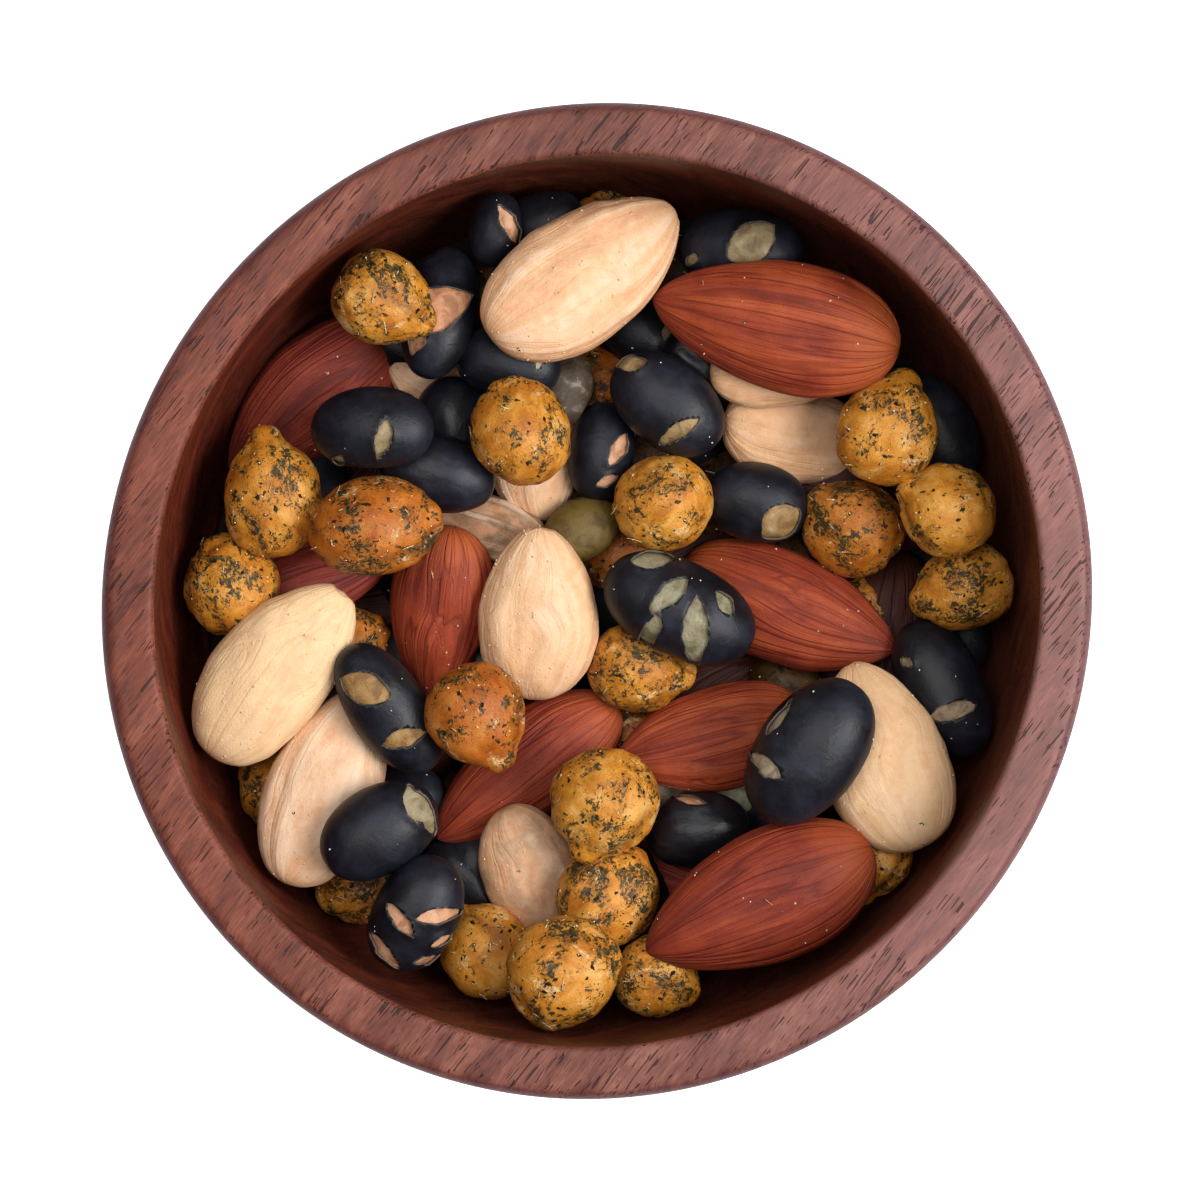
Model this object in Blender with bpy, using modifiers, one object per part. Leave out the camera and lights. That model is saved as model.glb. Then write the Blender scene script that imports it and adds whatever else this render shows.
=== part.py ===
"""A small turned wooden bowl filled with a mix of almonds, black soybeans and herbed chickpeas.

Metres, +Z up. The origin is the centre of the bowl's flat foot, at table height.
Two solids: the bowl, and the heap of mix that lies in it.
"""

import math
from collections import namedtuple

import bmesh
import bpy
import numpy as np
from mathutils import Matrix

MM = 0.001

# The bowl. Wood shrinks across its grain, so a turned bowl ends up a little oval.
BOWL_HEIGHT = 47.5 * MM
STRAIGHT_WALL = 1.5 * MM
OUTER_RADIUS = 49.8 * MM
RIM_WIDTH = 5.3 * MM
FOOT_RADIUS = 27.0 * MM
FLOOR_THICKNESS = 7.0 * MM
OUTER_ROUNDNESS = 2.2
INNER_ROUNDNESS = 3.4
OUTER_EDGE_RADIUS = 1.5 * MM
INNER_EDGE_RADIUS = 0.7 * MM
FOOT_EDGE_RADIUS = 1.0 * MM
GRAIN_HEADING = math.radians(52.0)
OVALITY = 0.012
BOWL_SIDES = 52
WALL_STEPS = 14
SIDE_STEPS = 10
INNER_RADIUS = OUTER_RADIUS - RIM_WIDTH
HOLLOW_TOP = BOWL_HEIGHT - STRAIGHT_WALL
INNER_DEPTH = HOLLOW_TOP - FLOOR_THICKNESS

# The heap. Its core fills the bowl to a little under the nuts, higher at the wall, and clear of it.
CORE_GAP = 0.4 * MM
CORE_TOP = 20.0 * MM
CORE_EDGE_TOP = 27.5 * MM
CORE_SIDES = 36
CORE_STEPS = 8
NEST_DEPTH = 5.0 * MM
NUT_WALL_GAP = 0.55 * MM
NUT_REACH = 43.5 * MM
PRESS = 0.9 * MM

# How nuts settle: on a grid of heights seen from above, at the slopes that lay them lowest.
CELL = 0.5 * MM
STEEPEST = 0.28
SLOPE_STEPS = 7
LEVELNESS = 9.0 * MM
SLIDE = 0.3 * MM
SLIDES = [(0.0, 0.0)] + [(SLIDE * math.cos(a), SLIDE * math.sin(a)) for a in np.linspace(0, math.tau, 9)[:-1]]

# Places and sizes were read at the rim's height. The nuts lie lower, further off, so they are a little larger.
READ_MM = 1.02 * MM

# Each kind's taper to its tip and to its round end, its thickness as a share of its width, and its sides.
Kind = namedtuple("Kind", "tip end thick around along")
KINDS = {
    "almond": Kind(tip=0.80, end=0.48, thick=0.62, around=10, along=8),
    "blanched": Kind(tip=0.66, end=0.46, thick=0.60, around=10, along=8),
    "bean": Kind(tip=0.44, end=0.44, thick=0.88, around=9, along=6),
    "kernel": Kind(tip=0.50, end=0.48, thick=0.75, around=7, along=5),
    "chickpea": Kind(tip=0.58, end=0.47, thick=0.96, around=9, along=6),
}

# The nuts that show, from the lowest to the topmost: place and size in millimetres, and the way the tip points.
Nut = namedtuple("Nut", "kind x y heading long wide")
DEEP_NUTS = [
    Nut("chickpea", 0.9, 37.2, 90, 9.2, 9.0),
    Nut("chickpea", 0.0, 22.8, 40, 8.5, 8.1),
    Nut("chickpea", 1.9, 5.2, 200, 8.7, 8.3),
    Nut("chickpea", 28.4, -26.4, 250, 7.8, 7.6),
    Nut("chickpea", -32.2, -19.4, 150, 8.8, 8.4),
    Nut("chickpea", -24.1, -28.8, 205, 9.0, 8.4),
    Nut("chickpea", -26.0, -4.8, 30, 9.2, 8.8),
    Nut("chickpea", 27.1, -1.8, 80, 8.0, 7.4),
    Nut("chickpea", 4.1, -13.5, 180, 8.4, 8.0),
    Nut("almond", -28.7, 3.0, 20, 20.0, 10.2),
    Nut("almond", 8.0, -26.5, 160, 19.0, 10.2),
    Nut("almond", -29.0, 20.5, 222, 22.6, 11.8),
    Nut("blanched", -12.9, 20.9, 157, 19.6, 9.6),
    Nut("blanched", -6.9, 17.5, 95, 18.6, 9.4),
    Nut("blanched", -12.4, 7.6, 162, 17.0, 7.0),
    Nut("kernel", -1.9, 7.2, 30, 8.4, 6.4),
    Nut("kernel", -3.9, 21.0, 60, 8.6, 6.0),
    Nut("kernel", 6.5, -17.4, 0, 8.6, 6.4),
    Nut("kernel", 12.8, -19.2, 5, 8.6, 5.6),
    Nut("bean", -5.3, 38.0, 20, 9.0, 6.6),
    Nut("bean", -14.4, 17.4, 90, 11.2, 8.4),
    Nut("bean", -16.0, 13.2, -15, 11.8, 7.8),
    Nut("bean", -8.7, 23.8, -10, 10.8, 7.4),
    Nut("bean", 10.2, -22.9, 5, 10.6, 8.0),
    Nut("bean", 4.1, 27.4, -40, 10.2, 7.4),
    Nut("bean", 10.7, 24.0, -35, 9.8, 6.8),
    Nut("bean", 34.2, 17.5, -60, 12.6, 8.4),
    Nut("bean", 37.6, -3.6, 90, 7.6, 5.8),
    Nut("bean", -12.7, -27.3, 80, 9.8, 7.6),
]
TOP_NUTS = [
    Nut("almond", 19.8, -0.6, -22, 24.0, 11.6),
    Nut("almond", -15.7, -0.8, 262, 18.0, 10.6),
    Nut("almond", 11.5, -14.0, 194, 19.6, 10.8),
    Nut("almond", -7.2, -17.6, 217, 22.8, 10.4),
    Nut("blanched", 20.4, 17.2, -12, 16.4, 10.2),
    Nut("blanched", 18.9, 23.2, 5, 15.5, 8.0),
    Nut("blanched", -27.5, -18.6, 68, 21.4, 11.6),
    Nut("blanched", -5.9, -28.0, 295, 16.8, 9.6),
    Nut("bean", -15.6, 28.8, 78, 13.8, 7.6),
    Nut("bean", 0.2, 15.4, 80, 10.0, 6.8),
    Nut("bean", 16.2, 10.3, -12, 10.6, 8.2),
    Nut("bean", 14.9, 35.8, -8, 12.6, 8.8),
    Nut("bean", 35.4, -8.9, -64, 14.8, 8.6),
    Nut("bean", -10.2, 38.2, 80, 7.6, 5.4),
    Nut("chickpea", 25.8, 7.2, 140, 10.3, 10.0),
    Nut("chickpea", -36.7, 1.3, 110, 10.2, 9.8),
    Nut("chickpea", 3.9, -7.0, -10, 10.4, 9.6),
    Nut("chickpea", 0.8, -29.8, 60, 10.6, 9.8),
    Nut("chickpea", 6.0, -37.8, -30, 8.6, 8.4),
    Nut("chickpea", -11.3, -35.7, 130, 9.8, 9.2),
    Nut("chickpea", 37.0, 1.1, 200, 10.2, 9.3),
    Nut("chickpea", 35.2, 8.8, 150, 9.6, 9.4),
    Nut("chickpea", 29.4, 17.0, 70, 11.4, 10.0),
    Nut("chickpea", 7.0, 9.9, 200, 10.2, 9.8),
    Nut("chickpea", -22.6, 32.2, 330, 10.2, 9.9),
    Nut("chickpea", -7.8, 16.7, 110, 10.8, 10.0),
    Nut("chickpea", -32.6, 10.2, 97, 12.4, 9.8),
    Nut("chickpea", -22.3, 7.8, 8, 13.0, 10.2),
    Nut("almond", 18.1, 27.6, 168, 25.6, 13.2),
    Nut("blanched", -1.7, 33.0, 35, 23.2, 13.0),
    Nut("bean", -22.2, 17.0, 0, 12.4, 8.4),
    Nut("blanched", -32.8, -7.0, 50, 22.0, 12.0),
    Nut("blanched", -5.8, -0.9, 89, 18.0, 12.2),
    Nut("bean", -21.2, -10.8, 125, 15.0, 7.8),
    Nut("chickpea", -12.4, -11.3, 300, 10.4, 9.6),
    Nut("bean", -22.1, -23.0, 32, 12.6, 8.8),
    Nut("bean", -18.3, -31.0, 62, 12.4, 8.8),
    Nut("bean", 7.1, 19.6, -38, 12.8, 8.8),
    Nut("bean", 8.1, -1.0, -27, 16.2, 10.0),
    Nut("blanched", 31.3, -16.6, 110, 20.2, 12.8),
    Nut("almond", 16.2, -30.2, 205, 25.0, 13.2),
    Nut("bean", 21.5, -15.0, 55, 16.2, 10.6),
    Nut("chickpea", 0.7, -20.6, 250, 11.4, 10.8),
    Nut("chickpea", -3.4, -39.1, 20, 11.6, 11.0),
]


def clear_scene():
    """Removes whatever the file opened with."""
    for found in list(bpy.data.objects):
        bpy.data.objects.remove(found, do_unlink=True)


def new_collection(name):
    made = bpy.data.collections.new(name)
    bpy.context.scene.collection.children.link(made)
    return made


def finish(name, colour, roughness):
    """A plain surface with the part's colour, in linear light."""
    material = bpy.data.materials.new(name)
    material.use_nodes = True
    shader = material.node_tree.nodes["Principled BSDF"]
    shader.inputs["Base Color"].default_value = (*colour, 1.0)
    shader.inputs["Roughness"].default_value = roughness
    shader.inputs["Metallic"].default_value = 0.0
    return material


def oval(points, share=OVALITY):
    """Places seen from above, drawn out along the wood's grain and in across it by a share."""
    along = np.array([math.cos(GRAIN_HEADING), math.sin(GRAIN_HEADING)])
    flat = np.asarray(points, float)[..., :2]
    reach = flat @ along
    return flat * (1 - share) + reach[..., None] * along * (2 * share)


def arc(centre, radius, start, end, steps):
    """Points of an arc in the profile's plane, from one angle to another, in degrees."""
    angles = np.radians(np.linspace(start, end, steps + 1))
    return [(centre[0] + radius * math.cos(a), centre[1] + radius * math.sin(a)) for a in angles]


def hollow_radius(height):
    """The bowl's inner radius at a height."""
    down = np.clip((HOLLOW_TOP - height) / INNER_DEPTH, 0.0, 1.0)
    return INNER_RADIUS * (1 - down**INNER_ROUNDNESS) ** (1 / INNER_ROUNDNESS)


def hollow_height(radius):
    """The height of the bowl's inside over a radius."""
    share = np.clip(radius / INNER_RADIUS, 0.0, 1.0)
    return HOLLOW_TOP - INNER_DEPTH * (1 - share**INNER_ROUNDNESS) ** (1 / INNER_ROUNDNESS)


def quarter(centre, across, down, roundness, angles):
    """Points of a quarter superellipse that hangs under its centre, by angles from level to straight down."""
    points = []
    for angle in angles:
        points.append((
            centre[0] + across * math.cos(angle) ** (2 / roundness),
            centre[1] - down * math.sin(angle) ** (2 / roundness),
        ))
    return points


def bowl_profile():
    """Half of the bowl's section: up the inside from the axis, over the rim, down the outside to the foot."""
    upward = np.linspace(math.pi / 2, 0.0, WALL_STEPS)
    inside = quarter((0.0, HOLLOW_TOP), INNER_RADIUS, INNER_DEPTH, INNER_ROUNDNESS, upward)
    inside[0] = (0.0, FLOOR_THICKNESS)
    inner_edge = arc(
        (INNER_RADIUS + INNER_EDGE_RADIUS, BOWL_HEIGHT - INNER_EDGE_RADIUS), INNER_EDGE_RADIUS, 180, 90, 2
    )
    outer_edge = arc(
        (OUTER_RADIUS - OUTER_EDGE_RADIUS, BOWL_HEIGHT - OUTER_EDGE_RADIUS), OUTER_EDGE_RADIUS, 90, 0, 3
    )
    side_height = BOWL_HEIGHT - 4 * OUTER_EDGE_RADIUS
    downward = np.linspace(0.0, math.pi / 2, SIDE_STEPS)[:-1]
    outside = quarter(
        (FOOT_RADIUS, side_height), OUTER_RADIUS - FOOT_RADIUS, side_height, OUTER_ROUNDNESS, downward
    )
    foot = [(FOOT_RADIUS + FOOT_EDGE_RADIUS, FOOT_EDGE_RADIUS / 4), (FOOT_RADIUS, 0.0), (0.0, 0.0)]
    return inside + inner_edge + outer_edge + outside + foot


def core_height(radius):
    """The height of the core's top, which rises toward the wall."""
    return CORE_TOP + (CORE_EDGE_TOP - CORE_TOP) * (radius / INNER_RADIUS) ** 2


def core_profile():
    """Half of the core's section: out over its top from the axis, then down the wall to the axis."""
    edge_radius = float(hollow_radius(CORE_EDGE_TOP)) - CORE_GAP
    top = [(share * edge_radius, float(core_height(share * edge_radius))) for share in np.linspace(0.0, 0.96, 5)]
    wall = []
    highest = math.asin(((HOLLOW_TOP - top[-1][1]) / INNER_DEPTH) ** (INNER_ROUNDNESS / 2))
    for angle in np.linspace(highest, math.pi / 2, CORE_STEPS):
        point = quarter((0.0, HOLLOW_TOP), INNER_RADIUS, INNER_DEPTH, INNER_ROUNDNESS, [angle])[0]
        wall.append((max(0.0, point[0] - CORE_GAP), point[1] + CORE_GAP * math.sin(angle)))
    wall[-1] = (0.0, FLOOR_THICKNESS + CORE_GAP)
    return top + wall


def turned(name, profile, sides, collection):
    """A solid of revolution from half of its section, then made oval with the wood."""
    mesh = bpy.data.meshes.new(name)
    mesh.from_pydata([(r, 0.0, z) for r, z in profile], [(i, i + 1) for i in range(len(profile) - 1)], [])
    made = bpy.data.objects.new(name, mesh)
    collection.objects.link(made)
    screw = made.modifiers.new("turning", "SCREW")
    screw.steps = screw.render_steps = sides
    screw.use_merge_vertices = True
    screw.merge_threshold = 1e-5
    apply_modifiers(made)
    points = np.array([v.co for v in made.data.vertices])
    points[:, :2] = oval(points)
    made.data.vertices.foreach_set("co", points.ravel())
    made.data.update()
    return made


def apply_modifiers(made):
    """Replaces the object's mesh by what its modifiers make of it."""
    graph = bpy.context.evaluated_depsgraph_get()
    mesh = bpy.data.meshes.new_from_object(made.evaluated_get(graph))
    made.modifiers.clear()
    made.data = mesh


def swell(share, tip, end):
    """The half width at a place along a nut, from -1 at its round end to 1 at its tip, as a share of the widest."""
    widest = (end - tip) / (end + tip)
    most = (1 - widest) ** tip * (1 + widest) ** end
    inside = np.clip(share, -1.0, 1.0)
    return (1 - inside) ** tip * (1 + inside) ** end / most


def kept_inside(nut):
    """The nut's centre, in metres, moved in from the wall where its outline would reach past it."""
    x, y = nut.x * READ_MM, nut.y * READ_MM
    kind, turn = KINDS[nut.kind], math.radians(nut.heading)
    share = np.linspace(-1.0, 1.0, 25)
    half_wide = swell(share, kind.tip, kind.end) * nut.wide * READ_MM / 2
    along = np.concatenate([share, share]) * nut.long * READ_MM / 2
    across = np.concatenate([half_wide, -half_wide])
    outline_x = x + along * math.cos(turn) - across * math.sin(turn)
    outline_y = y + along * math.sin(turn) + across * math.cos(turn)
    outline = oval(np.stack([outline_x, outline_y], axis=-1), -OVALITY)
    excess = float(np.linalg.norm(outline, axis=-1).max()) - NUT_REACH
    if excess > 0:
        inward = excess / math.hypot(x, y)
        x, y = x * (1 - inward), y * (1 - inward)
    return x, y


def empty_bed():
    """Grid coordinates, and the heights that the first nuts rest on: the nest in the core, and the wall."""
    axis = np.arange(-OUTER_RADIUS, OUTER_RADIUS, CELL)
    grid_x, grid_y = np.meshgrid(axis, axis, indexing="ij")
    radius = np.linalg.norm(oval(np.stack([grid_x, grid_y], axis=-1), -OVALITY), axis=-1) + NUT_WALL_GAP
    wall = np.where(radius < INNER_RADIUS, hollow_height(radius), HOLLOW_TOP)
    nest = core_height(np.hypot(grid_x, grid_y)) - NEST_DEPTH
    return grid_x, grid_y, np.maximum(wall + PRESS, nest)


def settle(nut, bed):
    """Lays a nut on the bed, where its middle comes lowest, and adds its top to the bed's heights.

    Returns the centre and the slopes along and across the nut.
    """
    grid_x, grid_y, heights = bed
    kind, turn = KINDS[nut.kind], math.radians(nut.heading)
    x, y = kept_inside(nut)
    steepest = 0.0 if nut.kind == "chickpea" else STEEPEST
    slopes = np.linspace(-steepest, steepest, SLOPE_STEPS)
    best = None
    for slide_x, slide_y in SLIDES:
        along = (grid_x - x - slide_x) * math.cos(turn) + (grid_y - y - slide_y) * math.sin(turn)
        across = (grid_y - y - slide_y) * math.cos(turn) - (grid_x - x - slide_x) * math.sin(turn)
        form = swell(along / (nut.long * READ_MM / 2), kind.tip, kind.end)
        side = across / np.maximum(form * nut.wide * READ_MM / 2, 1e-9)
        under = (form > 0) & (np.abs(side) < 1)
        along, across = along[under], across[under]
        half = form[under] * kind.thick * nut.wide * READ_MM / 2 * np.sqrt(1 - side[under] ** 2)
        for pitch in slopes:
            for roll in slopes:
                tilt = pitch * along + roll * across
                height = float((heights[under] - tilt + half).max())
                effort = height + LEVELNESS * (pitch**2 + roll**2)
                if best is None or effort < best[0] - 1e-9:
                    best = (effort, height, pitch, roll, slide_x, slide_y, under, height + tilt + half)
    _, height, pitch, roll, slide_x, slide_y, under, top = best
    heights[under] = np.maximum(heights[under], top - PRESS)
    return (x + slide_x, y + slide_y, height - PRESS), pitch, roll


def nut_solid(nut, place, number, collection):
    """One nut as a ball with few sides, drawn out to its kind's form and laid in its place.

    Its corners stand out by as much as its flats lie in, so its size is true.
    """
    kind = KINDS[nut.kind]
    fill = 1 / math.sqrt(math.cos(math.pi / kind.around))
    form = bmesh.new()
    bmesh.ops.create_uvsphere(form, u_segments=kind.around, v_segments=kind.along, radius=1.0)
    bmesh.ops.rotate(form, verts=form.verts, matrix=Matrix.Rotation(math.pi / 2, 3, "Y"))
    for vertex in form.verts:
        share = vertex.co.x
        ring = math.sqrt(max(1 - share**2, 1e-12))
        half_wide = float(swell(share, kind.tip, kind.end)) * nut.wide * READ_MM / 2
        vertex.co.x = share * nut.long * READ_MM / 2
        vertex.co.y *= fill * half_wide / ring
        vertex.co.z *= fill * kind.thick * half_wide / ring
    mesh = bpy.data.meshes.new(f"nut_{number}")
    form.to_mesh(mesh)
    form.free()
    centre, pitch, roll = place
    made = bpy.data.objects.new(f"nut_{number}", mesh)
    made.matrix_world = (
        Matrix.Translation(centre)
        @ Matrix.Rotation(math.radians(nut.heading), 4, "Z")
        @ Matrix.Rotation(-math.atan(pitch), 4, "Y")
        @ Matrix.Rotation(math.atan(roll), 4, "X")
    )
    collection.objects.link(made)
    return made


def largest_body(mesh):
    """Keeps the largest closed surface: fills hollows that fusing sealed, and drops loose scraps."""
    form = bmesh.new()
    form.from_mesh(mesh)
    unseen = set(form.faces)
    bodies = []
    while unseen:
        body, edge = [], [unseen.pop()]
        while edge:
            face = edge.pop()
            body.append(face)
            for side in face.edges:
                for other in side.link_faces:
                    if other in unseen:
                        unseen.remove(other)
                        edge.append(other)
        bodies.append(body)
    bodies.sort(key=len)
    scraps = [face for body in bodies[:-1] for face in body]
    bmesh.ops.delete(form, geom=scraps, context="FACES")
    form.to_mesh(mesh)
    form.free()


def make_bowl(collection):
    bowl = turned("bowl", bowl_profile(), BOWL_SIDES, collection)
    bowl.data.materials.append(finish("dark_wood", (0.150, 0.060, 0.042), 0.45))
    bowl.data.shade_smooth()
    bowl.data.set_sharp_from_angle(angle=math.radians(35))
    return bowl


def make_mix(collection, shapes):
    """The heap: its core with every nut that shows fused on."""
    mix = turned("trail_mix", core_profile(), CORE_SIDES, collection)
    bed = empty_bed()
    for number, nut in enumerate(DEEP_NUTS + TOP_NUTS):
        nut_solid(nut, settle(nut, bed), number, shapes)
    fuse = mix.modifiers.new("fuse", "BOOLEAN")
    fuse.operation = "UNION"
    fuse.operand_type = "COLLECTION"
    fuse.collection = shapes
    fuse.solver = "MANIFOLD"
    apply_modifiers(mix)
    for nut in list(shapes.objects):
        bpy.data.objects.remove(nut, do_unlink=True)
    largest_body(mix.data)
    mix.data.materials.clear()
    mix.data.materials.append(finish("nut_mix", (0.330, 0.130, 0.050), 0.55))
    return mix


def main():
    clear_scene()
    part = new_collection("bowl_of_trail_mix")
    shapes = new_collection("nut_shapes")
    make_bowl(part)
    make_mix(part, shapes)
    bpy.data.collections.remove(shapes)


main()
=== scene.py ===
"""The looks of a small wooden bowl of trail mix: the turned bowl, its almonds, beans and chickpeas,
and the herb flakes, salt and husk that cling to them."""

import itertools
import math
from collections import namedtuple

import bpy
import numpy as np
from mathutils import Matrix, Vector


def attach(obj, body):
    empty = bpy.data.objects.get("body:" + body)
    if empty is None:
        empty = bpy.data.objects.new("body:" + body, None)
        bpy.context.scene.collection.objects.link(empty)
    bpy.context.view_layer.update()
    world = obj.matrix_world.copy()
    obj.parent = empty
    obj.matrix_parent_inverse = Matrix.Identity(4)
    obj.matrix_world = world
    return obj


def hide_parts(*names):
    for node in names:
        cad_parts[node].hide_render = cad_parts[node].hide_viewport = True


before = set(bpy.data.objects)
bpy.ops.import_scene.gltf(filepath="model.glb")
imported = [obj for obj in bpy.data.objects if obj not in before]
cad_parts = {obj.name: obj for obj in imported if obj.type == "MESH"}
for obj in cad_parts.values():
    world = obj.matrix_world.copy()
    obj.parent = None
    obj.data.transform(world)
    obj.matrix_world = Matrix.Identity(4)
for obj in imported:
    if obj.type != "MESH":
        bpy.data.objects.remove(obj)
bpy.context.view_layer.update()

MM = 0.001

# The bowl, as in the part's source.
BOWL_HEIGHT = 47.5 * MM
STRAIGHT_WALL = 1.5 * MM
OUTER_RADIUS = 49.8 * MM
RIM_WIDTH = 5.3 * MM
FOOT_RADIUS = 27.0 * MM
FLOOR_THICKNESS = 7.0 * MM
OUTER_ROUNDNESS = 2.2
INNER_ROUNDNESS = 3.4
OUTER_EDGE_RADIUS = 1.5 * MM
INNER_EDGE_RADIUS = 0.7 * MM
FOOT_EDGE_RADIUS = 1.0 * MM
GRAIN_HEADING = math.radians(52.0)
LAYER_LEAN = math.radians(32.0)
OVALITY = 0.012
INNER_RADIUS = OUTER_RADIUS - RIM_WIDTH
HOLLOW_TOP = BOWL_HEIGHT - STRAIGHT_WALL
INNER_DEPTH = HOLLOW_TOP - FLOOR_THICKNESS

# The heap's bed and how nuts settle on it, as in the part's source.
CORE_TOP = 20.0 * MM
CORE_EDGE_TOP = 27.5 * MM
NEST_DEPTH = 5.0 * MM
NUT_WALL_GAP = 0.55 * MM
NUT_REACH = 43.5 * MM
PRESS = 0.9 * MM
CELL = 0.5 * MM
STEEPEST = 0.28
SLOPE_STEPS = 7
LEVELNESS = 9.0 * MM
SLIDE = 0.3 * MM
SLIDES = [(0.0, 0.0)] + [(SLIDE * math.cos(a), SLIDE * math.sin(a)) for a in np.linspace(0, math.tau, 9)[:-1]]
READ_MM = 1.02 * MM

# Each kind's taper to its tip and to its round end, and its thickness as a share of its width.
Kind = namedtuple("Kind", "tip end thick")
KINDS = {
    "almond": Kind(tip=0.80, end=0.48, thick=0.62),
    "blanched": Kind(tip=0.66, end=0.46, thick=0.60),
    "bean": Kind(tip=0.44, end=0.44, thick=0.88),
    "kernel": Kind(tip=0.50, end=0.48, thick=0.75),
    "chickpea": Kind(tip=0.58, end=0.47, thick=0.96),
}

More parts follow.
